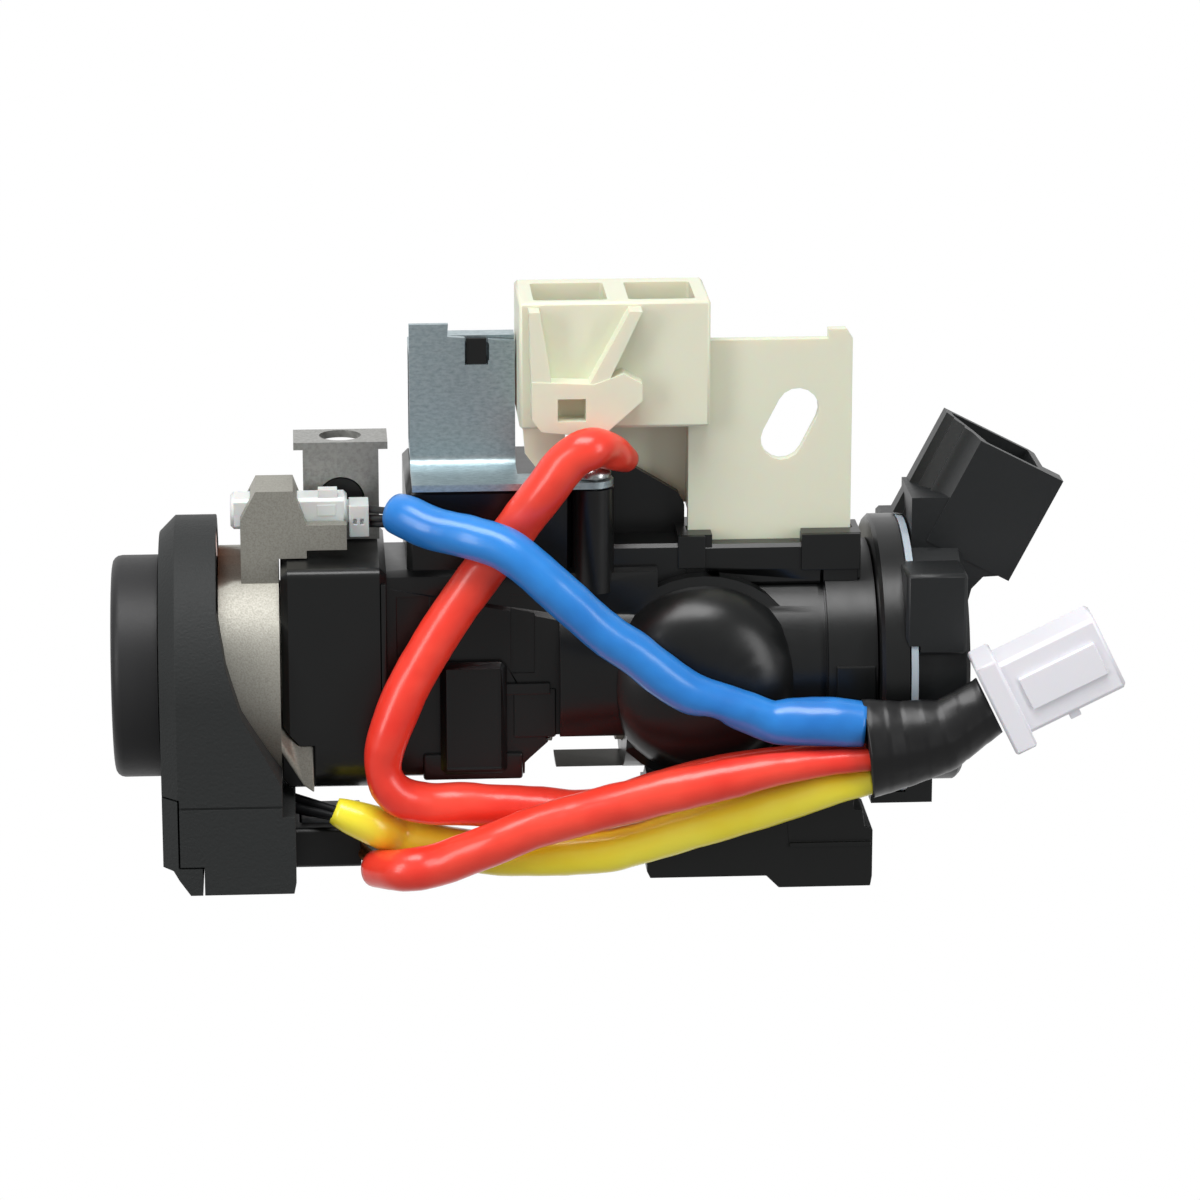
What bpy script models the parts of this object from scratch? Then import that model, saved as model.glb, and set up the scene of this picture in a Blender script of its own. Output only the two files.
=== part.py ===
"""Ignition lock with steering lock, immobiliser ring, shift-lock solenoid and electrical switch.

Lengths are in metres. The steering column's axis is the Z axis of the world. The key axis
runs along X in front of it, and every piece is drawn in the lock's own frame, which has its
zero where the key axis crosses the axis of the lock bolt: X runs from the key end to the
switch end, Y from the front to the column, and Z up.
"""

import math

import bmesh
import bpy
from mathutils import Matrix, Vector

# Clearance between touching pieces
GAP = 0.0003

# Steering column and the saddle that fits it
COLUMN_RADIUS = 0.020
KEY_TO_COLUMN = 0.042
SADDLE_HALF_WIDTH = 0.0335
SADDLE_HALF_HEIGHT = 0.013
PAD_SETBACK = 0.002
CLAMP_BOLT_SPACING = 0.054
CLAMP_BOLT_RADIUS = 0.0034
CLAMP_BOLT_DEPTH = 0.014

# Die-cast lock body
BARREL_RADIUS = 0.0145
BOSS_RADIUS = 0.0141
NOSE_RADIUS = 0.0155
NECK_RADIUS = 0.0208
NECK_LENGTH = 0.0104
CYLINDER_BORE_RADIUS = 0.0132
CYLINDER_BORE_DEPTH = 0.035
SHAFT_BORE_RADIUS = 0.0090
BOLT_CHAMBER_RADIUS = 0.0122
BOLT_CHAMBER_FRONT_Y = -0.0150
BOLT_CHAMBER_BACK_Y = 0.0125

# Plastic main housing
HOUSING_LEFT_X = -0.0727
HOUSING_RIGHT_X = 0.0297
HOUSING_BACK_Y = 0.0080
LEFT_SECTION_LENGTH = 0.0181
LEFT_SECTION_FRONT_Y = -0.0180
LEFT_SECTION_TOP_Z = 0.0216
LEFT_SECTION_BOTTOM_Z = -0.0195
MIDDLE_FRONT_Y = -0.0155
MIDDLE_TOP_Z = 0.0200
MIDDLE_BOTTOM_Z = -0.0170
MIDDLE_RIGHT_X = -0.0250
WAIST_BOTTOM_Z = -0.0128
DOME_RADIUS = 0.0169
DOME_FLANGE_RADIUS = 0.0185
DOME_FRONT_Y = -0.0236
DOME_FLANGE_Y = -0.0150
DOME_WALL = 0.0025
SPRING_SPACE_RADIUS = 0.0115
RIGHT_RADIUS = 0.0203
RIGHT_LENGTH = 0.0085
BODY_RADIUS = 0.0192
TOP_BLOCK_LEFT_X = -0.0510
TOP_BLOCK_RIGHT_X = -0.0225
TOP_BLOCK_FRONT_Y = -0.0130
TOP_BLOCK_TOP_Z = 0.0343
SLAB_LEFT_X = -0.0044
SLAB_RIGHT_X = 0.0274
SLAB_FRONT_Y = -0.0118
SLAB_TOP_Z = 0.0233
CLIP_HEIGHT = 0.0018

# Key end
BEZEL_RADIUS = 0.0194
BEZEL_LENGTH = 0.0080
BEZEL_EDGE = 0.0017
KEY_FACE_RADIUS = 0.0115
KEY_FACE_RECESS = 0.0016
KEY_FACE_THICKNESS = 0.0012
ROTOR_RADIUS = 0.0085
KEY_SLOT_WIDTH = 0.0030
KEY_SLOT_HEIGHT = 0.0096
KEY_SLOT_DEPTH = 0.026
SHUTTER_THICKNESS = 0.0006

# Immobiliser ring and its box
RING_RADIUS = 0.0262
RING_LENGTH = 0.0099
RING_CHAMFER_X = 0.0028
BOX_BACK_X = -0.0708
BOX_BOTTOM_Z = -0.0336
BOX_WALL = 0.0013
BOX_SIDE_SETBACK = 0.0020
COIL_OUTER_RADIUS = 0.0238
COIL_WINDING = 0.0046
COIL_LENGTH = 0.0040
COVER_THICKNESS = 0.0027
COVER_TOP_Z = -0.0167
COVER_FOOT_Z = -0.0288
COVER_FOOT_LENGTH = 0.0041
BOARD_THICKNESS = 0.0010
BOARD_SIDE_ROOM = 0.0029
PLUG_LENGTH = 0.0113
PLUG_WIDTH = 0.0160
PLUG_HEIGHT = 0.0072
PLUG_SEAT = 0.0035
PLUG_FRONT_Y = -0.0150
PLUG_LIFT = 0.0007

# Turning shaft, cam and steering lock bolt
SHAFT_RADIUS = 0.0055
CAM_SHAFT_RADIUS = 0.0035
CAM_LENGTH = 0.0050
CAM_BASE_RADIUS = 0.0038
LUG_STOP_START = -20.0
LUG_STOP_END = -4.0
KEY_TRAVEL = math.radians(110.0)
BOLT_TRAVEL = 0.0065
BOLT_HALF_WIDTH = 0.0035
BOLT_HALF_HEIGHT = 0.0050
BOLT_REACH = 0.0080
BOLT_CLEARANCE = 0.0002
HOOK_THICKNESS = 0.0025
BOLT_SPRING_RADIUS = 0.0038
BOLT_WIRE = 0.0008

# Shift-lock solenoid
YOKE_LEFT_X = -0.0500
YOKE_RIGHT_X = -0.0318
YOKE_FRONT_Y = -0.0020
YOKE_DEPTH = 0.0200
YOKE_TOP_Z = 0.0606
YOKE_SHEET = 0.0012
YOKE_FLANGE_FRONT_Y = -0.0160
YOKE_STEP_X = -0.0420
YOKE_STEP = 0.0012
EAR_X = -0.0190
EAR_Y = -0.0125
SCREW_BOSS_RADIUS = 0.0036
COIL_RADIUS = 0.0078
BOBBIN_FLANGE = 0.0014
PLUNGER_RADIUS = 0.0030
PLUNGER_TRAVEL = 0.0035
PLUNGER_TIP_RADIUS = 0.0018
PLUNGER_TIP_Z = 0.0066
PLUNGER_BODY_Z = 0.0300
PLUNGER_TOP_Z = 0.0520
SPRING_SEAT_Z = 0.0200
PLUNGER_WIRE = 0.0006
NOTCH_LEFT_X = -0.0404
NOTCH_WIDTH = 0.0042
NOTCH_BOTTOM_Z = 0.0540
NOTCH_HEIGHT = 0.0032
SCREW_SHANK_RADIUS = 0.0013
SCREW_HEAD_RADIUS = 0.0031

# Connector bracket of nylon
HOLDER_LEFT_X = -0.0315
HOLDER_RIGHT_X = 0.0011
HOLDER_FRONT_Y = -0.0120
HOLDER_DEPTH = 0.0190
HOLDER_BOTTOM_Z = 0.0443
HOLDER_TOP_Z = 0.0664
HOLDER_WALL = 0.0018
LATCH_DEPTH = 0.0040
WEB_BACK_Y = 0.0008
PLATE_LEFT_X = -0.0023
PLATE_RIGHT_X = 0.0259
PLATE_FRONT_Y = -0.0080
PLATE_THICKNESS = 0.0022
PLATE_TOP_Z = 0.0585
PLATE_SEAT_Z = 0.0190
SLOT_CENTRE_X = 0.0152
SLOT_CENTRE_Z = 0.0436
SLOT_WIDTH = 0.0073
SLOT_LENGTH = 0.0133
SLOT_LEAN = math.radians(27.0)

# Electrical switch
DISC_RADIUS = 0.0245
DISC_LENGTH = 0.0050
GASKET_THICKNESS = 0.0012
BASE_RADIUS = 0.0225
BASE_LENGTH = 0.0090
BASE_END_WALL = 0.0015
ROTOR_SPACE_RADIUS = 0.0128
CONNECTOR_TILT = math.radians(27.3)
CONNECTOR_WIDTH = 0.0180
CONNECTOR_DEPTH = 0.0150
CONNECTOR_LENGTH = 0.0200
CONNECTOR_WALL = 0.0014
CONNECTOR_CAVITY = 0.0140
CONNECTOR_CORNER_X = 0.0439
CONNECTOR_CORNER_Z = 0.0424
CONNECTOR_BACK_Y = 0.0070

# Contact blades
PIN_WIDTH = 0.0022
PIN_THICKNESS = 0.0008
PIN_PITCH = 0.0040
PIN_ROW_PITCH = 0.0058
PIN_SEAT = 0.0030
PIN_REACH = 0.0090

# Lower connector
LOWER_CAVITY = 0.0120
LOWER_PIN_Z = -0.0314
LOWER_LEFT_X = -0.0101
LOWER_STEP_X = 0.0107
LOWER_MOUTH_X = 0.0292
LOWER_FRONT_Y = -0.0200
LOWER_DEPTH = 0.0170
LOWER_BOTTOM_Z = -0.0343
LOWER_MOUTH_BOTTOM_Z = -0.0365
LOWER_MOUTH_TOP_Z = -0.0262
LOWER_WALL = 0.0013

# Lug bracket
LUG_LEFT_X = -0.0701
LUG_RIGHT_X = -0.0538
LUG_FRONT_Y = 0.0010
LUG_FOOT = 0.0120
LUG_WEB_HOLE_Z = 0.0290
LUG_SCREW_Y = 0.0085
LUG_SCREW_RADIUS = 0.0018
LUG_SCREW_END_Z = 0.0165
LUG_DEPTH = 0.0110
LUG_TOP_Z = 0.0398
LUG_SHEET = 0.0017
LUG_HOLE_RADIUS = 0.00365
LUG_WEB_INSET = 0.0016
LUG_WEB_HOLE_RADIUS = 0.0041

# Key warning switch
WARNING_LEFT_X = -0.0811
WARNING_RIGHT_X = -0.0610
WARNING_FRONT_Y = -0.0075
WARNING_DEPTH = 0.0062
WARNING_BOTTOM_Z = 0.0262
WARNING_TOP_Z = 0.0316
WARNING_PLUG_LENGTH = 0.0034

# Harness
SLEEVE_RADIUS = 0.0037
SLEEVE_POINT_STEP = 1.65
HARNESS_PLUG_LENGTH = 0.0190
HARNESS_PLUG_HEIGHT = 0.0138
HARNESS_PLUG_DEPTH = 0.0090
PLUG_RISE = math.radians(26.3)
PLUG_PLACE = (0.0478, -0.0298, -0.0003)

# Values that follow from the ones above
NECK_RIGHT_X = HOUSING_LEFT_X - GAP
NECK_LEFT_X = NECK_RIGHT_X - NECK_LENGTH
RING_BACK_X = NECK_LEFT_X - GAP
RING_FRONT_X = RING_BACK_X - RING_LENGTH
BEZEL_BACK_X = RING_FRONT_X - GAP
BEZEL_FRONT_X = BEZEL_BACK_X - BEZEL_LENGTH
KEY_FACE_X = BEZEL_FRONT_X + KEY_FACE_RECESS
SLEEVE_FRONT_X = KEY_FACE_X + KEY_FACE_THICKNESS + GAP
CYLINDER_BORE_END_X = SLEEVE_FRONT_X + CYLINDER_BORE_DEPTH
SEAT_Y = KEY_TO_COLUMN - COLUMN_RADIUS
PAD_Y = KEY_TO_COLUMN - PAD_SETBACK
CAM_GROWTH = BOLT_TRAVEL / KEY_TRAVEL
COIL_INNER_RADIUS = COIL_OUTER_RADIUS - COIL_WINDING
DISC_LEFT_X = HOUSING_RIGHT_X + GAP
GASKET_LEFT_X = DISC_LEFT_X + DISC_LENGTH
BASE_LEFT_X = GASKET_LEFT_X + GASKET_THICKNESS + GAP
BASE_RIGHT_X = BASE_LEFT_X + BASE_LENGTH
YOKE_BACK_Y = YOKE_FRONT_Y + YOKE_DEPTH
YOKE_BOTTOM_Z = TOP_BLOCK_TOP_Z + GAP
SOLENOID_X = (YOKE_LEFT_X + YOKE_RIGHT_X) / 2
SOLENOID_Y = (YOKE_FRONT_Y + YOKE_BACK_Y) / 2
BARREL_CLEARANCE = BARREL_RADIUS + GAP

for item in list(bpy.data.objects):
    bpy.data.objects.remove(item, do_unlink=True)

PARTS = bpy.data.collections.new("ignition_switch")
bpy.context.scene.collection.children.link(PARTS)


def keep(name, mesh):
    """Put a mesh into the scene as an object."""
    piece = bpy.data.objects.new(name, mesh)
    PARTS.objects.link(piece)
    return piece


def keep_bmesh(name, shape):
    """Put an edited mesh into the scene with its faces pointing out."""
    bmesh.ops.recalc_face_normals(shape, faces=shape.faces[:])
    mesh = bpy.data.meshes.new(name)
    shape.to_mesh(mesh)
    shape.free()
    return keep(name, mesh)


def bake(piece):
    """Give a piece the mesh that its modifiers make."""
    depsgraph = bpy.context.evaluated_depsgraph_get()
    mesh = bpy.data.meshes.new_from_object(piece.evaluated_get(depsgraph))
    piece.modifiers.clear()
    old = piece.data
    piece.data = mesh
    bpy.data.meshes.remove(old)
    return piece


def tidy(piece):
    """Join doubled points and merge the flat faces that cuts leave."""
    shape = bmesh.new()
    shape.from_mesh(piece.data)
    bmesh.ops.remove_doubles(shape, verts=shape.verts[:], dist=0.000002)
    bmesh.ops.dissolve_degenerate(shape, edges=shape.edges[:], dist=0.000002)
    bmesh.ops.dissolve_limit(
        shape, angle_limit=math.radians(0.5), verts=shape.verts[:], edges=shape.edges[:]
    )
    shape.to_mesh(piece.data)
    shape.free()
    return piece


def combine(piece, others, operation):
    """Join other shapes to a piece or cut them from it, and remove them."""
    for other in others:
        modifier = piece.modifiers.new(operation.lower(), "BOOLEAN")
        modifier.operation = operation
        modifier.solver = "EXACT"
        modifier.object = other
    bake(piece)
    for other in others:
        bpy.data.objects.remove(other, do_unlink=True)
    return tidy(piece)


def join(piece, *others):
    """Weld other shapes to a piece."""
    return combine(piece, others, "UNION")


def cut(piece, *others):
    """Cut other shapes out of a piece."""
    return combine(piece, others, "DIFFERENCE")


def common(piece, *others):
    """Keep only what a piece shares with the other shapes."""
    return combine(piece, others, "INTERSECT")


def soften(piece, width, segments=2, angle=50.0):
    """Round the sharp edges of a piece."""
    modifier = piece.modifiers.new("soften", "BEVEL")
    modifier.width = width
    modifier.segments = segments
    modifier.limit_method = "ANGLE"
    modifier.angle_limit = math.radians(angle)
    modifier.harden_normals = False
    return bake(piece)


def box(name, low, high, radius=0.0, along="XYZ", segments=2):
    """Make a block between two corners, with its edges along the named axes rounded."""
    low = Vector(low)
    high = Vector(high)
    size = high - low
    place = Matrix.Translation((low + high) / 2) @ Matrix.Diagonal((*size, 1.0))
    shape = bmesh.new()
    bmesh.ops.create_cube(shape, size=1.0, matrix=place)
    if radius > 0.0:
        axes = {"X": Vector((1, 0, 0)), "Y": Vector((0, 1, 0)), "Z": Vector((0, 0, 1))}
        chosen = []
        for edge in shape.edges:
            run = (edge.verts[1].co - edge.verts[0].co).normalized()
            if any(abs(run.dot(axes[letter])) > 0.99 for letter in along):
                chosen.append(edge)
        bmesh.ops.bevel(
            shape, geom=chosen, offset=radius, segments=segments, profile=0.5, affect="EDGES"
        )
    return keep_bmesh(name, shape)


def rod(name, start, end, radius, end_radius=None, sides=32):
    """Make a cylinder or a cone between two points."""
    start = Vector(start)
    end = Vector(end)
    run = end - start
    turn = Vector((0, 0, 1)).rotation_difference(run).to_matrix().to_4x4()
    shape = bmesh.new()
    bmesh.ops.create_cone(
        shape,
        cap_ends=True,
        segments=sides,
        radius1=radius,
        radius2=radius if end_radius is None else end_radius,
        depth=run.length,
        matrix=Matrix.Translation((start + end) / 2) @ turn,
    )
    return keep_bmesh(name, shape)


def turned(name, profile, axis="X", centre=(0.0, 0.0, 0.0), sides=40):
    """Turn a profile of (place along the axis, radius) points about an axis through the centre."""
    points = []
    for along, radius in profile:
        spot = {"X": (along, 0.0, radius), "Y": (radius, along, 0.0), "Z": (radius, 0.0, along)}
        points.append(spot[axis])
    count = len(points)
    edges = [(i, i + 1) for i in range(count - 1)]
    if min(radius for _, radius in profile) > 0.0:
        edges.append((count - 1, 0))
    mesh = bpy.data.meshes.new(name)
    mesh.from_pydata(points, edges, [])
    piece = keep(name, mesh)
    modifier = piece.modifiers.new("turn", "SCREW")
    modifier.axis = axis
    modifier.steps = sides
    modifier.render_steps = sides
    modifier.use_merge_vertices = True
    modifier.merge_threshold = 0.00001
    bake(piece)
    shape = bmesh.new()
    shape.from_mesh(piece.data)
    bmesh.ops.remove_doubles(shape, verts=shape.verts[:], dist=0.000001)
    bmesh.ops.recalc_face_normals(shape, faces=shape.faces[:])
    bmesh.ops.translate(shape, verts=shape.verts[:], vec=Vector(centre))
    shape.to_mesh(piece.data)
    shape.free()
    return piece


def plate(name, outline, near, far, facing="Y", holes=()):
    """Make a flat outline as thick as from near to far along the axis that it faces."""
    curve = bpy.data.curves.new(name, "CURVE")
    curve.dimensions = "2D"
    curve.fill_mode = "BOTH"
    curve.extrude = (far - near) / 2
    for loop in (outline, *holes):
        spline = curve.splines.new("POLY")
        spline.points.add(len(loop) - 1)
        for point, (across, up) in zip(spline.points, loop):
            point.co = (across, up, 0.0, 1.0)
        spline.use_cyclic_u = True
    piece = bake_curve(keep(name, curve))
    middle = (near + far) / 2
    turns = {
        "X": Matrix(((0, 0, 1, middle), (1, 0, 0, 0), (0, 1, 0, 0), (0, 0, 0, 1))),
        "Y": Matrix(((1, 0, 0, 0), (0, 0, -1, middle), (0, 1, 0, 0), (0, 0, 0, 1))),
        "Z": Matrix(((1, 0, 0, 0), (0, 1, 0, 0), (0, 0, 1, middle), (0, 0, 0, 1))),
    }
    piece.data.transform(turns[facing])
    return tidy(piece)


def bake_curve(piece):
    """Turn a curve object into a closed mesh object of the same name."""
    depsgraph = bpy.context.evaluated_depsgraph_get()
    mesh = bpy.data.meshes.new_from_object(piece.evaluated_get(depsgraph))
    name = piece.name
    bpy.data.objects.remove(piece, do_unlink=True)
    shape = bmesh.new()
    shape.from_mesh(mesh)
    bmesh.ops.remove_doubles(shape, verts=shape.verts[:], dist=0.000002)
    bmesh.ops.recalc_face_normals(shape, faces=shape.faces[:])
    shape.to_mesh(mesh)
    shape.free()
    return keep(name, mesh)


def hull(name, points):
    """Make the tight convex skin round some points."""
    shape = bmesh.new()
    corners = [shape.verts.new(point) for point in points]
    made = bmesh.ops.convex_hull(shape, input=corners)
    spare = [item for item in made["geom_interior"] if isinstance(item, bmesh.types.BMVert)]
    bmesh.ops.delete(shape, geom=spare, context="VERTS")
    return tidy(keep_bmesh(name, shape))


def arc(centre, radius, start, end, count=8):
    """List the points of an arc, with its ends, for angles in degrees."""
    points = []
    for i in range(count + 1):
        angle = math.radians(start + (end - start) * i / count)
        points.append((centre[0] + radius * math.cos(angle), centre[1] + radius * math.sin(angle)))
    return points


def circle(centre, radius, count=24):
    """List the points of a circle."""
    return arc(centre, radius, 0.0, 360.0 - 360.0 / count, count - 1)


def stadium(centre, width, length, lean):
    """List the points of a slot with round ends that leans over from upright."""
    half = (length - width) / 2
    points = []
    for across, up in arc((0.0, half), width / 2, 0.0, 180.0) + arc((0.0, -half), width / 2, 180.0, 360.0):
        x = across * math.cos(lean) + up * math.sin(lean)
        z = -across * math.sin(lean) + up * math.cos(lean)
        points.append((centre[0] + x, centre[1] + z))
    return points


def paint(name, colour, roughness, metallic=0.0):
    """Make a plain material."""
    material = bpy.data.materials.new(name)
    material.use_nodes = True
    shader = material.node_tree.nodes["Principled BSDF"]
    shader.inputs["Base Color"].default_value = (*colour, 1.0)
    shader.inputs["Roughness"].default_value = roughness
    shader.inputs["Metallic"].default_value = metallic
    material.diffuse_color = (*colour, 1.0)
    return material


GLOSS_BLACK = paint("gloss_black", (0.012, 0.013, 0.013), 0.28)
MATT_BLACK = paint("matt_black", (0.022, 0.023, 0.023), 0.55)
CAST_ZINC = paint("cast_zinc", (0.27, 0.27, 0.25), 0.45, 0.9)
STEEL = paint("steel", (0.42, 0.43, 0.44), 0.32, 1.0)
ZINC_PLATE = paint("zinc_plate", (0.33, 0.40, 0.42), 0.35, 1.0)
BRASS = paint("brass", (0.62, 0.45, 0.20), 0.30, 1.0)
COPPER = paint("copper", (0.60, 0.26, 0.12), 0.35, 1.0)
IVORY = paint("ivory_nylon", (0.72, 0.73, 0.58), 0.50)
NATURAL = paint("natural_nylon", (0.78, 0.79, 0.78), 0.45)
GASKET_GREY = paint("gasket_grey", (0.45, 0.50, 0.54), 0.60)
BOARD_GREEN = paint("board_green", (0.02, 0.16, 0.06), 0.50)
BLUE = paint("blue_sleeve", (0.02, 0.23, 0.67), 0.35)
RED = paint("red_sleeve", (1.0, 0.07, 0.04), 0.35)
YELLOW = paint("yellow_sleeve", (0.97, 0.78, 0.04), 0.35)
WHITE = paint("white_plug", (0.86, 0.86, 0.89), 0.45)


def finish(piece, name, material, smooth=35.0):
    """Name a piece, give it its material and shade it."""
    piece.name = name
    piece.data.name = name
    piece.data.materials.clear()
    piece.data.materials.append(material)
    piece.data.shade_smooth()
    piece.data.set_sharp_from_angle(angle=math.radians(smooth))
    return piece


def make_bezel():
    """Make the round cap over the lock's nose, with a flared mouth for the key."""
    front = BEZEL_FRONT_X
    rim = KEY_FACE_RADIUS + 0.0006
    inner = NOSE_RADIUS + GAP
    edge = [
        (front + BEZEL_EDGE * (1 - math.sin(a)), BEZEL_RADIUS - BEZEL_EDGE * (1 - math.cos(a)))
        for a in (math.radians(90 - 90 * i / 4) for i in range(5))
    ]
    profile = [(front, rim + 0.0012), *edge, (BEZEL_BACK_X, BEZEL_RADIUS), (BEZEL_BACK_X, inner)]
    profile += [(SLEEVE_FRONT_X, inner), (SLEEVE_FRONT_X, rim), (front + 0.0009, rim)]
    return finish(turned("bezel", profile, sides=36), "key_bezel", MATT_BLACK)


def make_cylinder_sleeve():
    """Make the fixed sleeve that the key rotor turns in."""
    profile = [
        (SLEEVE_FRONT_X, CYLINDER_BORE_RADIUS - GAP),
        (CYLINDER_BORE_END_X - GAP, CYLINDER_BORE_RADIUS - GAP),
        (CYLINDER_BORE_END_X - GAP, ROTOR_RADIUS + GAP),
        (SLEEVE_FRONT_X, ROTOR_RADIUS + GAP),
    ]
    return finish(turned("sleeve", profile, sides=24), "cylinder_sleeve", CAST_ZINC)


def make_key_rotor():
    """Make the key rotor with its face, key slot, shutter pocket and rear tongue."""
    face = KEY_FACE_X
    back = CYLINDER_BORE_END_X - GAP
    profile = [
        (face + 0.0005, 0.0),
        (face, 0.0045),
        (face, KEY_FACE_RADIUS - 0.0006),
        (face + 0.0005, KEY_FACE_RADIUS),
        (face + KEY_FACE_THICKNESS, KEY_FACE_RADIUS),
        (face + KEY_FACE_THICKNESS, ROTOR_RADIUS),
        (back, ROTOR_RADIUS),
        (back, 0.0),
    ]
    rotor = turned("rotor", profile, sides=24)
    half_width = KEY_SLOT_WIDTH / 2
    half_height = KEY_SLOT_HEIGHT / 2
    slot = box(
        "slot",
        (face - 0.001, -half_width, -half_height),
        (face + KEY_SLOT_DEPTH, half_width, half_height),
    )
    pocket_x = face + KEY_FACE_THICKNESS + 0.0006
    pocket = box(
        "pocket",
        (pocket_x, -half_width - 0.0014, -half_height - 0.0004),
        (pocket_x + KEY_SLOT_WIDTH + 0.0022, half_width + 0.0006, half_height + 0.0004),
    )
    tongue = box("tongue", (back - 0.002, -0.0014, -0.0055), (back + 0.004, 0.0014, 0.0055))
    cut(rotor, slot)
    cut(rotor, pocket)
    join(rotor, tongue)
    return finish(rotor, "key_rotor", STEEL)


def make_key_shutter():
    """Make the sprung flap behind the key slot, with its origin on its hinge."""
    x = KEY_FACE_X + KEY_FACE_THICKNESS + 0.0006 + 0.0002 + SHUTTER_THICKNESS / 2
    hinge_y = -KEY_SLOT_WIDTH / 2 - 0.0008
    half = KEY_SLOT_HEIGHT / 2 + 0.0001
    thick = SHUTTER_THICKNESS / 2
    leaf = box("leaf", (-thick, 0.0, -half), (thick, KEY_SLOT_WIDTH + 0.0010, half))
    pin = rod("pin", (0, 0, -half), (0, 0, half), thick + 0.00005, sides=16)
    shutter = join(leaf, pin)
    shutter.location = (x, hinge_y, 0.0)
    return finish(shutter, "key_shutter", STEEL)


def ring_flank():
    """List the side outline of the antenna housing, seen from the front, as (x, z) points."""
    bottom = BOX_BOTTOM_Z
    front = RING_FRONT_X - 0.001
    return [
        (RING_BACK_X, RING_RADIUS + 0.001),
        (front, RING_RADIUS + 0.001),
        (front, bottom + 0.0045),
        (RING_FRONT_X + 0.0018, bottom + 0.0042),
        (RING_FRONT_X + 0.0047, bottom),
        (BOX_BACK_X - 0.0004, bottom),
        (BOX_BACK_X, bottom + 0.002),
        (BOX_BACK_X, LEFT_SECTION_BOTTOM_Z - GAP),
        (HOUSING_LEFT_X - GAP, LEFT_SECTION_BOTTOM_Z - GAP),
        (HOUSING_LEFT_X - GAP, -0.0143),
        (RING_BACK_X + 0.0076, -0.0085),
        (RING_BACK_X + 0.0040, -0.0020),
        (RING_BACK_X + 0.0016, 0.0060),
        (RING_BACK_X, 0.0150),
    ]


def make_antenna_envelope(name):
    """Make the outer form of the antenna housing: a ring with a box below it."""
    front = [(-RING_RADIUS, BOX_BOTTOM_Z)]
    front += [(RING_RADIUS, BOX_BOTTOM_Z)]
    front += arc((0.0, 0.0), RING_RADIUS, 0.0, 180.0, 24)
    body = plate(name, front, RING_FRONT_X, BOX_BACK_X + 0.001, facing="X")
    shape = bmesh.new()
    shape.from_mesh(body.data)
    lip = [
        edge
        for edge in shape.edges
        if all(abs(vertex.co.x - RING_FRONT_X) < 0.00001 for vertex in edge.verts)
        and len(edge.link_faces) == 2
        and edge.calc_face_angle(0.0) > 0.5
    ]
    bmesh.ops.bevel(shape, geom=lip, offset=RING_CHAMFER_X, segments=1, affect="EDGES")
    shape.to_mesh(body.data)
    shape.free()
    side = plate("side", ring_flank(), -RING_RADIUS - 0.002, RING_RADIUS + 0.002, facing="Y")
    return common(body, side)


def cover_zone(name, grow):
    """Make the L-shaped space of the antenna cover, grown for clearance."""
    left = RING_FRONT_X - 0.01
    seam = RING_FRONT_X + COVER_THICKNESS + grow
    foot = seam + COVER_FOOT_LENGTH
    low = BOX_BOTTOM_Z - 0.01
    outline = [
        (left, low),
        (foot, low),
        (foot, COVER_FOOT_Z + grow),
        (seam, COVER_FOOT_Z + grow),
        (seam, COVER_TOP_Z + grow),
        (left, COVER_TOP_Z + grow),
    ]
    return plate(name, outline, -RING_RADIUS - 0.01, RING_RADIUS + 0.01, facing="Y")


def antenna_plug_box(grow):
    """Give the corners of the wire plug of the antenna, grown for clearance."""
    low_z = BOX_BOTTOM_Z + PLUG_LIFT
    left = BOX_BACK_X - PLUG_SEAT
    return (
        (left - grow, PLUG_FRONT_Y - grow, low_z - grow),
        (BOX_BACK_X + PLUG_LENGTH, PLUG_FRONT_Y + PLUG_WIDTH + grow, low_z + PLUG_HEIGHT + grow),
    )


def make_antenna_housing():
    """Make the antenna housing with its bore, coil groove, board space and plug socket."""
    housing = make_antenna_envelope("antenna")
    bore = rod("bore", (RING_FRONT_X - 0.01, 0, 0), (0.0, 0, 0), NOSE_RADIUS + GAP, sides=40)
    neck = rod("neck", (RING_BACK_X, 0, 0), (0.0, 0, 0), NECK_RADIUS + GAP, sides=40)
    groove = turned(
        "groove",
        [
            (RING_BACK_X - COIL_LENGTH - GAP, COIL_INNER_RADIUS - GAP),
            (RING_BACK_X - COIL_LENGTH - GAP, COIL_OUTER_RADIUS + GAP),
            (RING_BACK_X + 0.0001, COIL_OUTER_RADIUS + GAP),
            (RING_BACK_X + 0.0001, COIL_INNER_RADIUS - GAP),
        ],
        sides=40,
    )
    side = RING_RADIUS - BOX_WALL - BOX_SIDE_SETBACK
    space = box(
        "space",
        (RING_FRONT_X, -side, BOX_BOTTOM_Z + BOX_WALL),
        (BOX_BACK_X - BOX_WALL - PLUG_SEAT, side, -NECK_RADIUS - 0.0035),
    )
    socket = box("socket", *antenna_plug_box(GAP))
    cut(housing, bore)
    cut(housing, neck)
    cut(housing, groove)
    cut(housing, cover_zone("cover_zone", GAP))
    cut(housing, space)
    cut(housing, socket)
    return finish(housing, "antenna_housing", MATT_BLACK)


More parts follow.
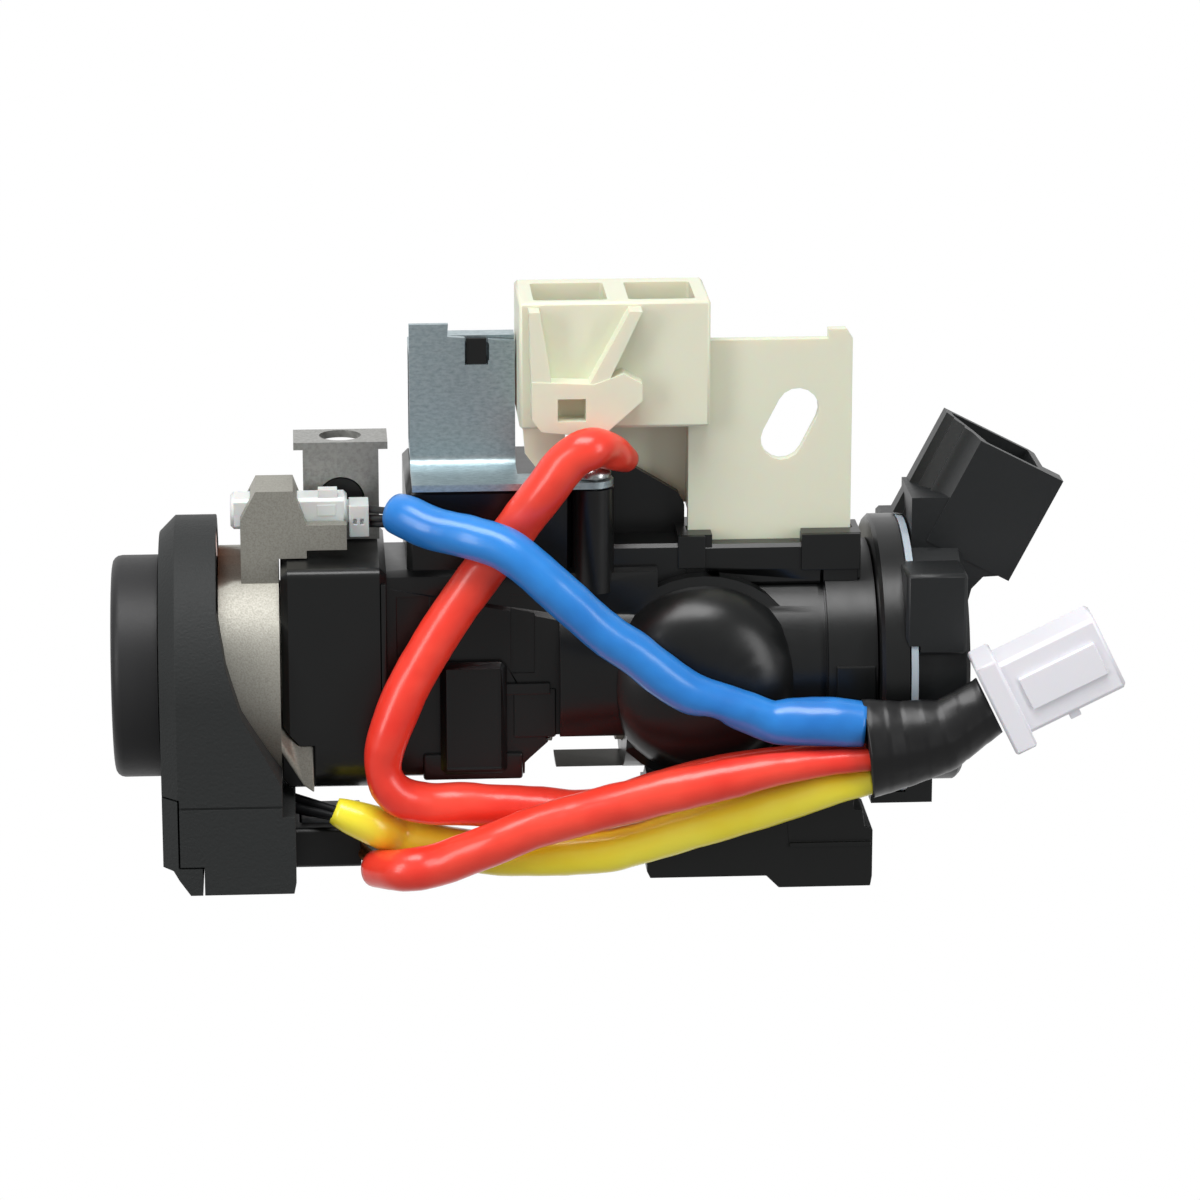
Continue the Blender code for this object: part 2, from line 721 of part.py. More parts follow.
def make_antenna_cover():
    """Make the cover that closes the antenna box, with its snap nub."""
    cover = common(make_antenna_envelope("cover"), cover_zone("zone", 0.0))
    nub_x = RING_FRONT_X + 0.0006
    nub = box(
        "nub",
        (nub_x - 0.0012, -0.0035, -0.0262),
        (nub_x + 0.001, 0.0035, -0.0230),
        0.0004,
        segments=1,
    )
    bore = rod("bore", (RING_FRONT_X - 0.01, 0, 0), (0.0, 0, 0), NOSE_RADIUS + GAP, sides=40)
    join(cover, nub)
    cut(cover, bore)
    return finish(cover, "antenna_cover", MATT_BLACK)


def make_antenna_coil():
    """Make the wound ring coil in the groove of the antenna housing."""
    left = RING_BACK_X - COIL_LENGTH
    profile = [
        (left, COIL_INNER_RADIUS),
        (left, COIL_OUTER_RADIUS),
        (RING_BACK_X - 0.0002, COIL_OUTER_RADIUS),
        (RING_BACK_X - 0.0002, COIL_INNER_RADIUS),
    ]
    return finish(turned("coil", profile, sides=24), "antenna_coil", COPPER)


def make_antenna_board():
    """Make the circuit board in the antenna box, resting on the box's floor ribs."""
    left = RING_FRONT_X + COVER_THICKNESS + COVER_FOOT_LENGTH + 0.0015
    right = BOX_BACK_X - BOX_WALL - PLUG_SEAT - GAP
    floor = BOX_BOTTOM_Z + BOX_WALL + GAP
    half = RING_RADIUS - BOX_WALL - BOX_SIDE_SETBACK - BOARD_SIDE_ROOM
    board = box("board", (left, -half, floor), (right, half, floor + BOARD_THICKNESS))
    chip = box("chip", (left + 0.003, -0.006, floor + 0.0005), (left + 0.008, 0.002, floor + 0.0026))
    return finish(join(board, chip), "antenna_board", BOARD_GREEN)


def make_antenna_plug():
    """Make the wire plug at the back of the antenna box."""
    low, high = antenna_plug_box(0.0)
    plug = box("plug", low, high, 0.0006, along="X", segments=1)
    lock_top = high[2]
    strip = box(
        "strip",
        (BOX_BACK_X + 0.0010 - GAP, low[1] + 0.0040 - GAP, lock_top - 0.0012 - GAP),
        (high[0] - 0.0012 + GAP, high[1] - 0.0040 + GAP, lock_top + 0.001),
    )
    exit_hole = box(
        "exit",
        (high[0] - 0.0015, low[1] + 0.003, low[2] + 0.0015),
        (high[0] + 0.001, high[1] - 0.003, lock_top - 0.003),
    )
    cut(plug, strip)
    cut(plug, exit_hole)
    return finish(plug, "antenna_plug", GLOSS_BLACK)


def make_antenna_plug_lock():
    """Make the grey lock strip on top of the antenna's plug."""
    low, high = antenna_plug_box(0.0)
    strip = box(
        "strip",
        (BOX_BACK_X + 0.0010, low[1] + 0.0040, high[2] - 0.0012),
        (high[0] - 0.0012, high[1] - 0.0040, high[2] + 0.0005),
        0.0003,
        along="X",
        segments=1,
    )
    return finish(strip, "antenna_plug_lock", GASKET_GREY)


def make_lock_body():
    """Make the die casting: barrel, neck, top block, bolt boss and column saddle."""
    body = turned(
        "body",
        [
            (SLEEVE_FRONT_X, 0.0),
            (SLEEVE_FRONT_X, NOSE_RADIUS),
            (NECK_LEFT_X, NOSE_RADIUS),
            (NECK_LEFT_X, NECK_RADIUS),
            (NECK_RIGHT_X, NECK_RADIUS),
            (NECK_RIGHT_X, BARREL_RADIUS),
            (HOUSING_RIGHT_X - 0.0002, BARREL_RADIUS),
            (HOUSING_RIGHT_X - 0.0002, 0.0),
        ],
        sides=40,
    )
    boss = rod("boss", (0, BOLT_CHAMBER_FRONT_Y, 0), (0, SEAT_Y, 0), BOSS_RADIUS, sides=32)
    saddle = box(
        "saddle",
        (-SADDLE_HALF_WIDTH, HOUSING_BACK_Y + GAP, -SADDLE_HALF_HEIGHT),
        (SADDLE_HALF_WIDTH, PAD_Y, SADDLE_HALF_HEIGHT),
        0.0020,
        along="Y",
    )
    block = plate(
        "block",
        [
            (-0.0794, 0.0150),
            (NECK_RIGHT_X, 0.0150),
            (NECK_RIGHT_X, LEFT_SECTION_TOP_Z + GAP),
            (-0.0681, LEFT_SECTION_TOP_Z + GAP),
            (-0.0681, 0.0278),
            (-0.0703, 0.0338),
            (-0.0767, 0.0338),
            (-0.0794, 0.0286),
        ],
        -0.0110,
        0.0005,
    )
    arm = box("arm", (-0.0700, -0.0110, 0.0233), (-0.0612, -0.0080, 0.0277))
    join(body, boss, saddle, block, arm)
    column = rod("column", (0, KEY_TO_COLUMN, -0.03), (0, KEY_TO_COLUMN, 0.03), COLUMN_RADIUS, sides=40)
    chamber = rod("chamber", (0, -0.03, 0), (0, BOLT_CHAMBER_BACK_Y, 0), BOLT_CHAMBER_RADIUS, sides=28)
    passage = box(
        "passage",
        (-BOLT_HALF_WIDTH - BOLT_CLEARANCE, 0.0, -BOLT_HALF_HEIGHT - BOLT_CLEARANCE),
        (BOLT_HALF_WIDTH + BOLT_CLEARANCE, SEAT_Y + 0.01, BOLT_HALF_HEIGHT + BOLT_CLEARANCE),
    )
    cylinder_bore = rod(
        "bore",
        (SLEEVE_FRONT_X - 0.01, 0, 0),
        (CYLINDER_BORE_END_X, 0, 0),
        CYLINDER_BORE_RADIUS,
        sides=28,
    )
    shaft_bore = rod(
        "shaft_bore",
        (CYLINDER_BORE_END_X - 0.001, 0, 0),
        (HOUSING_RIGHT_X + 0.01, 0, 0),
        SHAFT_BORE_RADIUS,
        sides=24,
    )
    warning = box(
        "warning",
        (-0.090, WARNING_FRONT_Y - GAP, WARNING_BOTTOM_Z - GAP),
        (-0.050, WARNING_FRONT_Y + WARNING_DEPTH + GAP, WARNING_TOP_Z + GAP),
    )
    plunger_hole = rod(
        "plunger_hole",
        (SOLENOID_X, SOLENOID_Y, PLUNGER_TIP_Z - PLUNGER_TRAVEL - 0.0010),
        (SOLENOID_X, SOLENOID_Y, 0.03),
        PLUNGER_TIP_RADIUS + GAP,
        sides=20,
    )
    disc_space = rod("disc_space", (HOUSING_RIGHT_X, 0, 0), (0.06, 0, 0), DISC_RADIUS + GAP, sides=40)
    cut(body, column)
    cut(body, disc_space)
    cut(body, chamber)
    cut(body, passage)
    cut(body, cylinder_bore)
    cut(body, shaft_bore)
    cut(body, warning)
    cut(body, plunger_hole)
    for side in (-1, 1):
        x = side * CLAMP_BOLT_SPACING / 2
        hole = rod(
            "hole",
            (x, PAD_Y - CLAMP_BOLT_DEPTH, 0),
            (x, PAD_Y + 0.01, 0),
            CLAMP_BOLT_RADIUS,
            sides=24,
        )
        cut(body, hole)
    return finish(body, "lock_body", CAST_ZINC)


def make_dome(name, grow):
    """Make the round cover over the bolt chamber, as a turned cap."""
    front = DOME_FRONT_Y
    profile = [
        (front, 0.0),
        (front + 0.0003, 0.0080),
        (front + 0.0016, 0.0125),
        (front + 0.0042, 0.0153),
        (front + 0.0070, DOME_RADIUS - 0.0002),
        (DOME_FLANGE_Y, DOME_RADIUS),
        (DOME_FLANGE_Y + 0.0004, DOME_FLANGE_RADIUS),
        (HOUSING_BACK_Y + grow, DOME_FLANGE_RADIUS),
        (HOUSING_BACK_Y + grow, 0.0),
    ]
    return turned(name, profile, axis="Y", sides=40)


def left_section_outline():
    """List the end outline of the housing's left section as (y, z) points."""
    front = LEFT_SECTION_FRONT_Y
    back = -front
    top = LEFT_SECTION_TOP_Z
    bottom = LEFT_SECTION_BOTTOM_Z
    points = arc((front + 0.0015, top - 0.0015), 0.0015, 90.0, 180.0, 3)
    points += arc((front + 0.0090, bottom + 0.0090), 0.0090, 180.0, 270.0, 6)
    points += arc((back - 0.0060, bottom + 0.0060), 0.0060, 270.0, 360.0, 4)
    points += arc((back - 0.0060, top - 0.0060), 0.0060, 0.0, 90.0, 4)
    return points


def make_main_housing():
    """Make the black plastic housing round the front of the casting."""
    left_end = HOUSING_LEFT_X + LEFT_SECTION_LENGTH
    housing = plate("housing", left_section_outline(), HOUSING_LEFT_X, left_end, facing="X")
    soften(housing, 0.0012, segments=1)
    middle = box(
        "middle",
        (left_end - 0.003, MIDDLE_FRONT_Y, MIDDLE_BOTTOM_Z),
        (MIDDLE_RIGHT_X, HOUSING_BACK_Y, MIDDLE_TOP_Z),
        0.0025,
        along="XY",
    )
    waist = box(
        "waist",
        (MIDDLE_RIGHT_X - 0.004, MIDDLE_FRONT_Y + 0.0008, WAIST_BOTTOM_Z),
        (-0.008, HOUSING_BACK_Y - 0.0001, MIDDLE_TOP_Z - 0.0001),
        0.0020,
        along="X",
    )
    panel = box("panel", (-0.0456, -0.0174, -0.0158), (-0.0341, 0.0, 0.0044), 0.0010, segments=1)
    top_block = box(
        "top_block",
        (TOP_BLOCK_LEFT_X, TOP_BLOCK_FRONT_Y, MIDDLE_TOP_Z - 0.006),
        (TOP_BLOCK_RIGHT_X, YOKE_BACK_Y - 0.0010, TOP_BLOCK_TOP_Z),
        0.0010,
        segments=1,
    )
    boss = rod(
        "boss",
        (EAR_X, EAR_Y, MIDDLE_TOP_Z - 0.004),
        (EAR_X, EAR_Y, TOP_BLOCK_TOP_Z),
        SCREW_BOSS_RADIUS,
    )
    core = rod(
        "core",
        (MIDDLE_RIGHT_X, 0, 0),
        (HOUSING_RIGHT_X - RIGHT_LENGTH + 0.001, 0, 0),
        BODY_RADIUS,
        sides=40,
    )
    right = rod(
        "right",
        (HOUSING_RIGHT_X - RIGHT_LENGTH, 0, 0),
        (HOUSING_RIGHT_X, 0, 0),
        RIGHT_RADIUS,
        sides=40,
    )
    behind = box(
        "behind",
        (MIDDLE_RIGHT_X - 0.001, HOUSING_BACK_Y, -0.05),
        (HOUSING_RIGHT_X + 0.001, 0.06, 0.05),
    )
    join(core, right)
    cut(core, behind)
    slab = box(
        "slab",
        (SLAB_LEFT_X, SLAB_FRONT_Y, 0.0160),
        (SLAB_RIGHT_X, HOUSING_BACK_Y - 0.0003, SLAB_TOP_Z),
        0.0006,
        segments=1,
    )
    clip_left = box(
        "clip_left",
        (SLAB_LEFT_X + 0.0001, SLAB_FRONT_Y + 0.0001, 0.017),
        (SLAB_LEFT_X + 0.006, PLATE_FRONT_Y + 0.005, SLAB_TOP_Z + CLIP_HEIGHT),
    )
    clip_right = box(
        "clip_right",
        (SLAB_RIGHT_X - 0.0102, SLAB_FRONT_Y + 0.0001, 0.017),
        (SLAB_RIGHT_X - 0.0001, PLATE_FRONT_Y + 0.005, SLAB_TOP_Z + CLIP_HEIGHT),
    )
    ledge = box(
        "ledge",
        (-0.0240, -0.0120, 0.0100),
        (SLAB_LEFT_X + 0.002, HOUSING_BACK_Y - 0.0004, 0.0236),
        0.0006,
        segments=1,
    )
    gusset = plate(
        "gusset",
        [
            (TOP_BLOCK_RIGHT_X - 0.003, 0.0150),
            (PLATE_LEFT_X - GAP, 0.0150),
            (PLATE_LEFT_X - GAP, 0.0285),
            (PLATE_LEFT_X - 0.0014, 0.0307),
            (-0.0111, 0.0352),
            (TOP_BLOCK_RIGHT_X - 0.003, 0.0352),
        ],
        -0.0040,
        -0.0018,
    )
    join(housing, middle, waist, panel, top_block, boss, core)
    join(housing, slab, clip_left, clip_right, ledge, gusset)
    join(housing, make_dome("dome", -0.0005))
    barrel = rod(
        "barrel",
        (HOUSING_LEFT_X - 0.01, 0, 0),
        (HOUSING_RIGHT_X + 0.01, 0, 0),
        BARREL_CLEARANCE,
        sides=36,
    )
    spring_space = rod("spring_space", (0, DOME_FRONT_Y + DOME_WALL, 0), (0, 0, 0), SPRING_SPACE_RADIUS)
    chamber = rod(
        "chamber",
        (0, BOLT_CHAMBER_FRONT_Y - GAP, 0),
        (0, HOUSING_BACK_Y + 0.01, 0),
        BOSS_RADIUS + GAP,
        sides=36,
    )
    plate_slot = box(
        "plate_slot",
        (PLATE_LEFT_X - GAP, PLATE_FRONT_Y - GAP, PLATE_SEAT_Z),
        (PLATE_RIGHT_X + GAP, PLATE_FRONT_Y + PLATE_THICKNESS + GAP, 0.06),
    )
    stem_hole = rod(
        "stem_hole",
        (SOLENOID_X, SOLENOID_Y, 0.0),
        (SOLENOID_X, SOLENOID_Y, SPRING_SEAT_Z + 0.001),
        PLUNGER_TIP_RADIUS + GAP,
        sides=16,
    )
    spring_hole = rod(
        "spring_hole",
        (SOLENOID_X, SOLENOID_Y, SPRING_SEAT_Z),
        (SOLENOID_X, SOLENOID_Y, TOP_BLOCK_TOP_Z + 0.01),
        PLUNGER_RADIUS + PLUNGER_WIRE / 2 + GAP,
        sides=20,
    )
    screw_hole = rod(
        "screw_hole",
        (EAR_X, EAR_Y, TOP_BLOCK_TOP_Z - 0.0080),
        (EAR_X, EAR_Y, 0.06),
        0.0016,
        sides=16,
    )
    cut(housing, barrel)
    cut(housing, spring_space)
    cut(housing, chamber)
    lug_screw_hole = rod(
        "lug_screw_hole",
        ((LUG_LEFT_X + LUG_RIGHT_X) / 2, LUG_SCREW_Y, LUG_SCREW_END_Z - GAP),
        ((LUG_LEFT_X + LUG_RIGHT_X) / 2, LUG_SCREW_Y, LEFT_SECTION_TOP_Z + 0.002),
        LUG_SCREW_RADIUS + GAP,
        sides=20,
    )
    cut(housing, lug_screw_hole)
    cut(housing, plate_slot)
    cut(housing, stem_hole)
    cut(housing, spring_hole)
    cut(housing, screw_hole)
    return finish(housing, "main_housing", GLOSS_BLACK)


def cam_outline():
    """List the cam's outline as (y, z) points: its lift grows evenly with the key's angle."""
    points = arc((0.0, 0.0), CAM_BASE_RADIUS, 180.0, 360.0, 16)
    steps = 16
    for i in range(steps + 1):
        turn = KEY_TRAVEL * i / steps
        lift = CAM_BASE_RADIUS + CAM_GROWTH * turn
        angle = math.pi - turn
        y = lift * math.cos(angle) + CAM_GROWTH * math.sin(angle)
        z = lift * math.sin(angle) - CAM_GROWTH * math.cos(angle)
        points.append((y, z))
    return points


def cam_low_z():
    """Find the lowest place that the cam reaches as the key turns."""
    turns = [KEY_TRAVEL * i / 24 for i in range(25)]
    return min(y * math.sin(turn) + z * math.cos(turn) for y, z in cam_outline() for turn in turns)


def make_cam_shaft():
    """Make the shaft from the key rotor to the switch, with the lock cam and the stop lug."""
    left = CYLINDER_BORE_END_X + GAP
    right = BASE_LEFT_X - 0.0005
    near = CAM_LENGTH / 2 + 0.004
    shaft = turned(
        "shaft",
        [
            (left, 0.0),
            (left, SHAFT_RADIUS + 0.0015),
            (-near, SHAFT_RADIUS + 0.0015),
            (-near, CAM_SHAFT_RADIUS),
            (near, CAM_SHAFT_RADIUS),
            (near, SHAFT_RADIUS),
            (right, SHAFT_RADIUS),
            (right, 0.0),
        ],
        sides=24,
    )
    half = CAM_LENGTH / 2
    cam = hull("cam", [(x, y, z) for x in (-half, half) for y, z in cam_outline()])
    lug = plate(
        "lug",
        arc((0.0, 0.0), SHAFT_RADIUS - 0.0010, LUG_STOP_END, LUG_STOP_START, 2)
        + arc((0.0, 0.0), SHAFT_BORE_RADIUS - 0.0006, LUG_STOP_START, LUG_STOP_END, 4),
        SOLENOID_X - PLUNGER_TIP_RADIUS,
        SOLENOID_X + PLUNGER_TIP_RADIUS,
        facing="X",
    )
    groove = box("groove", (left - 0.001, -0.0017, -0.0058), (left + 0.0042, 0.0017, 0.0058))
    square = box("square", (right - 0.001, -0.0028, -0.0028), (BASE_LEFT_X + 0.004, 0.0028, 0.0028))
    join(shaft, cam, lug, square)
    cut(shaft, groove)
    return finish(shaft, "cam_shaft", CAST_ZINC)


def make_lock_bolt():
    """Make the steering lock bolt with the hook that the cam pulls."""
    hook_y = -CAM_BASE_RADIUS - GAP
    arm_z = cam_low_z() - GAP
    inner_y = CAM_BASE_RADIUS + BOLT_TRAVEL + 0.0006
    half = CAM_LENGTH / 2
    tip_y = SEAT_Y + BOLT_REACH
    hook = box("hook", (-half, hook_y - HOOK_THICKNESS, arm_z - HOOK_THICKNESS), (half, hook_y, 0.0058))
    back_y = BOLT_CHAMBER_BACK_Y - GAP
    arm = box(
        "arm",
        (-half, hook_y - 0.001, arm_z - HOOK_THICKNESS + 0.00005),
        (half - 0.00005, back_y, arm_z),
    )
    bar = box(
        "bar",
        (-BOLT_HALF_WIDTH, inner_y, -BOLT_HALF_HEIGHT),
        (BOLT_HALF_WIDTH, tip_y, BOLT_HALF_HEIGHT),
        0.0006,
        segments=1,
    )
    step = box(
        "step",
        (-half + 0.00005, inner_y + 0.00005, arm_z - HOOK_THICKNESS + 0.0001),
        (half - 0.0001, back_y - 0.00005, 0.0),
    )
    return finish(join(hook, arm, bar, step), "lock_bolt", STEEL)


def make_switch_rotor():
    """Make the contact carrier that the shaft's square end turns."""
    left = BASE_LEFT_X + 0.0001
    rotor = turned(
        "rotor",
        [
            (left, 0.0),
            (left, 0.0120),
            (left + 0.0026, 0.0120),
            (left + 0.0026, 0.0060),
            (left + 0.0045, 0.0060),
            (left + 0.0045, 0.0),
        ],
        sides=24,
    )
    square = box(
        "square",
        (left - 0.001, -0.0028 - GAP, -0.0028 - GAP),
        (BASE_LEFT_X + 0.0040 + GAP, 0.0028 + GAP, 0.0028 + GAP),
    )
    return finish(cut(rotor, square), "switch_rotor", NATURAL)


def make_switch_housing():
    """Make the flange disc of the electrical switch, which seats on the housing's end."""
    disc = turned(
        "disc",
        [
            (DISC_LEFT_X, SHAFT_BORE_RADIUS),
            (DISC_LEFT_X, DISC_RADIUS - 0.0006),
            (DISC_LEFT_X + 0.0006, DISC_RADIUS),
            (GASKET_LEFT_X - GAP, DISC_RADIUS),
            (GASKET_LEFT_X - GAP, SHAFT_BORE_RADIUS),
        ],
        sides=40,
    )
    return finish(disc, "switch_housing", GLOSS_BLACK)


def make_switch_gasket():
    """Make the grey gasket ring between the two halves of the switch."""
    ring = turned(
        "gasket",
        [
            (GASKET_LEFT_X, SHAFT_BORE_RADIUS + 0.006),
            (GASKET_LEFT_X, DISC_RADIUS - 0.0001),
            (GASKET_LEFT_X + GASKET_THICKNESS, DISC_RADIUS - 0.0001),
            (GASKET_LEFT_X + GASKET_THICKNESS, SHAFT_BORE_RADIUS + 0.006),
        ],
        sides=40,
    )
    return finish(ring, "switch_gasket", GASKET_GREY)


def connector_place():
    """Give the transform of the tilted connector: X across it, Y to the back, Z out of its mouth."""
    corner = Matrix.Translation((CONNECTOR_CORNER_X, CONNECTOR_BACK_Y, CONNECTOR_CORNER_Z))
    return corner @ Matrix.Rotation(CONNECTOR_TILT, 4, "Y")


def move(piece, matrix):
    """Move a piece's mesh by a transform."""
    piece.data.transform(matrix)
    return piece


def make_switch_base():
    """Make the rear half of the switch with its tilted connector and snap straps."""
    base = turned(
        "base",
        [
            (BASE_LEFT_X, 0.0),
            (BASE_LEFT_X, BASE_RADIUS),
            (BASE_RIGHT_X - 0.0008, BASE_RADIUS),
            (BASE_RIGHT_X, BASE_RADIUS - 0.0008),
            (BASE_RIGHT_X, 0.0),
        ],
        sides=40,
    )
    front_y = CONNECTOR_BACK_Y - CONNECTOR_DEPTH
    web = plate(
        "web",
        [
            (BASE_LEFT_X + 0.0001, 0.0),
            (BASE_RIGHT_X + 0.0007, 0.0),
            (BASE_RIGHT_X + 0.0009, 0.0100),
            (BASE_RIGHT_X + 0.0018, 0.0135),
            (BASE_RIGHT_X + 0.0038, 0.0156),
            (BASE_RIGHT_X + 0.0080, 0.0158),
            (BASE_RIGHT_X, 0.0300),
            (BASE_LEFT_X + 0.0001, 0.0300),
        ],
        front_y + 0.0002,
        CONNECTOR_BACK_Y - 0.0002,
    )
    shell = plate("shell", connector_outline(), -CONNECTOR_LENGTH, 0.0, facing="Z")
    move(shell, connector_place())
    join(base, web, shell)
    strap_space = rod("space", (DISC_LEFT_X - 0.01, 0, 0), (BASE_LEFT_X, 0, 0), DISC_RADIUS + GAP, sides=40)
    for side in (-1, 1):
        inner, outer = sorted((side * 0.0140, side * (DISC_RADIUS - 0.0010)))
        strap = box(
            "strap",
            (DISC_LEFT_X + 0.0040, inner, 0.0062),
            (BASE_RIGHT_X - 0.0010, outer, 0.0206),
            0.0006,
            segments=1,
        )
        join(base, strap)
    foot = box(
        "foot",
        (DISC_LEFT_X + 0.0004, -0.0070, -DISC_RADIUS - 0.0012),
        (BASE_LEFT_X + 0.0047, 0.0070, -BASE_RADIUS + 0.0020),
    )
    join(base, foot)
    rotor_space = rod(
        "rotor_space",
        (BASE_LEFT_X - 0.001, 0, 0),
        (BASE_RIGHT_X - BASE_END_WALL, 0, 0),
        ROTOR_SPACE_RADIUS,
    )
    cut(base, strap_space)
    cut(base, rotor_space)
    cavity = plate("cavity", connector_cavity(), -CONNECTOR_CAVITY, 0.01, facing="Z")
    cut(base, move(cavity, connector_place()))
    for across, depth in connector_pins():
        hole = box(
            "hole",
            (
                across - PIN_WIDTH / 2 - GAP,
                depth - PIN_THICKNESS / 2 - GAP,
                -CONNECTOR_CAVITY - PIN_SEAT - GAP,
            ),
            (across + PIN_WIDTH / 2 + GAP, depth + PIN_THICKNESS / 2 + GAP, -CONNECTOR_CAVITY + 0.001),
        )
        cut(base, move(hole, connector_place()))
    return finish(base, "switch_base", MATT_BLACK)


def connector_outline():
    """List the connector's outer outline, with its grooved corner and latch ridge."""
    deep = -CONNECTOR_DEPTH
    wide = CONNECTOR_WIDTH
    return [
        (0.0, 0.0),
        (0.0, -0.0036),
        (0.0013, -0.0050),
        (0.0010, -0.0064),
        (0.0029, -0.0083),
        (0.0026, -0.0098),
        (0.0041, -0.0112),
        (0.0051, deep),
        (wide + 0.0034, deep),
        (wide + 0.0034, deep + 0.0045),
        (wide, deep + 0.0045),
        (wide, -0.0010),
        (wide - 0.0010, 0.0),
    ]


def connector_cavity():
    """List the outline of the connector's cavity."""
    wall = CONNECTOR_WALL
    deep = -CONNECTOR_DEPTH + wall
    right = CONNECTOR_WIDTH - wall
    return [
        (wall, -wall),
        (wall, -0.0034),
        (0.0045, -0.0088),
        (0.0066, deep),
        (right, deep),
        (right, -wall),
    ]


def connector_pins():
    """List where the contact blades stand in the connector, across it and from its back."""
    places = []
    for row in range(2):
        for column in range(3):
            across = CONNECTOR_WIDTH - CONNECTOR_WALL - 0.0022 - column * PIN_PITCH
            places.append((across, -0.0046 - row * PIN_ROW_PITCH))
    return places[:5]


def make_switch_pins():
    """Make the contact blades of the switch connector."""
    for number, (across, depth) in enumerate(connector_pins(), start=1):
        blade = box(
            "blade",
            (across - PIN_WIDTH / 2, depth - PIN_THICKNESS / 2, -CONNECTOR_CAVITY - PIN_SEAT),
            (across + PIN_WIDTH / 2, depth + PIN_THICKNESS / 2, -CONNECTOR_CAVITY + PIN_REACH),
            0.0002,
            along="Z",
            segments=1,
        )
        finish(move(blade, connector_place()), f"switch_pin_{number}", BRASS)


def make_solenoid_yoke():
    """Make the front plate of the solenoid, bent forward at the bottom into a flange with an ear."""
    sheet = YOKE_SHEET
    bottom = YOKE_BOTTOM_Z
    front = YOKE_FRONT_Y
    bend = 0.0018
    profile = [(YOKE_FLANGE_FRONT_Y, bottom), (front - bend + sheet, bottom)]
    profile += arc((front - bend, bottom + bend + sheet), bend + sheet, 270.0, 360.0, 5)[1:]
    profile += [(front + sheet, YOKE_TOP_Z), (front, YOKE_TOP_Z)]
    profile += arc((front - bend, bottom + bend + sheet), bend, 360.0, 270.0, 5)
    profile += [(YOKE_FLANGE_FRONT_Y, bottom + sheet)]
    yoke = plate("yoke", profile, YOKE_LEFT_X, YOKE_RIGHT_X, facing="X")
    ear = plate(
        "ear",
        [(YOKE_RIGHT_X - 0.002, YOKE_FLANGE_FRONT_Y), (EAR_X, YOKE_FLANGE_FRONT_Y)]
        + arc((EAR_X, EAR_Y), EAR_Y - YOKE_FLANGE_FRONT_Y, 270.0, 450.0, 8)[1:]
        + [(YOKE_RIGHT_X - 0.002, EAR_Y + EAR_Y - YOKE_FLANGE_FRONT_Y)],
        bottom + 0.00002,
        bottom + sheet - 0.00002,
        facing="Z",
        holes=[circle((EAR_X, EAR_Y), SCREW_SHANK_RADIUS + GAP, 16)],
    )
    join(yoke, ear)
    step = plate(
        "step",
        [
            (YOKE_STEP_X - 0.0019, YOKE_TOP_Z + 0.001),
            (YOKE_STEP_X, YOKE_TOP_Z - YOKE_STEP),
            (YOKE_RIGHT_X + 0.001, YOKE_TOP_Z - YOKE_STEP),
            (YOKE_RIGHT_X + 0.001, YOKE_TOP_Z + 0.001),
        ],
        front - 0.001,
        front + sheet + 0.001,
    )
    notch = box(
        "notch",
        (NOTCH_LEFT_X, front - 0.001, NOTCH_BOTTOM_Z),
        (NOTCH_LEFT_X + NOTCH_WIDTH, front + sheet + 0.001, NOTCH_BOTTOM_Z + NOTCH_HEIGHT),
    )
    cut(yoke, step)
    cut(yoke, notch)
    return finish(yoke, "solenoid_yoke", ZINC_PLATE)


def make_solenoid_frame():
    """Make the U-shaped rear frame of the solenoid: top, back and bottom from one sheet."""
    sheet = YOKE_SHEET
    front = YOKE_FRONT_Y + sheet + GAP
    back = YOKE_BACK_Y
    bottom = YOKE_BOTTOM_Z
    top = YOKE_TOP_Z - YOKE_STEP
    bend = 0.0015
    profile = [(front, top)]
    profile += arc((back - bend, top - bend), bend, 90.0, 0.0, 4)
    profile += arc((back - bend, bottom + bend), bend, 0.0, -90.0, 4)
    profile += [(front + 0.0022, bottom), (front + 0.0022, bottom + sheet)]
    profile += [(back - sheet, bottom + sheet), (back - sheet, top - sheet), (front, top - sheet)]
    frame = plate("frame", profile, YOKE_LEFT_X + 0.0002, YOKE_RIGHT_X, facing="X")
    hole = rod(
        "hole",
        (SOLENOID_X, SOLENOID_Y, bottom - 0.001),
        (SOLENOID_X, SOLENOID_Y, bottom + sheet + 0.001),
        PLUNGER_RADIUS + GAP,
        sides=24,
    )
    return finish(cut(frame, hole), "solenoid_top_plate", ZINC_PLATE)


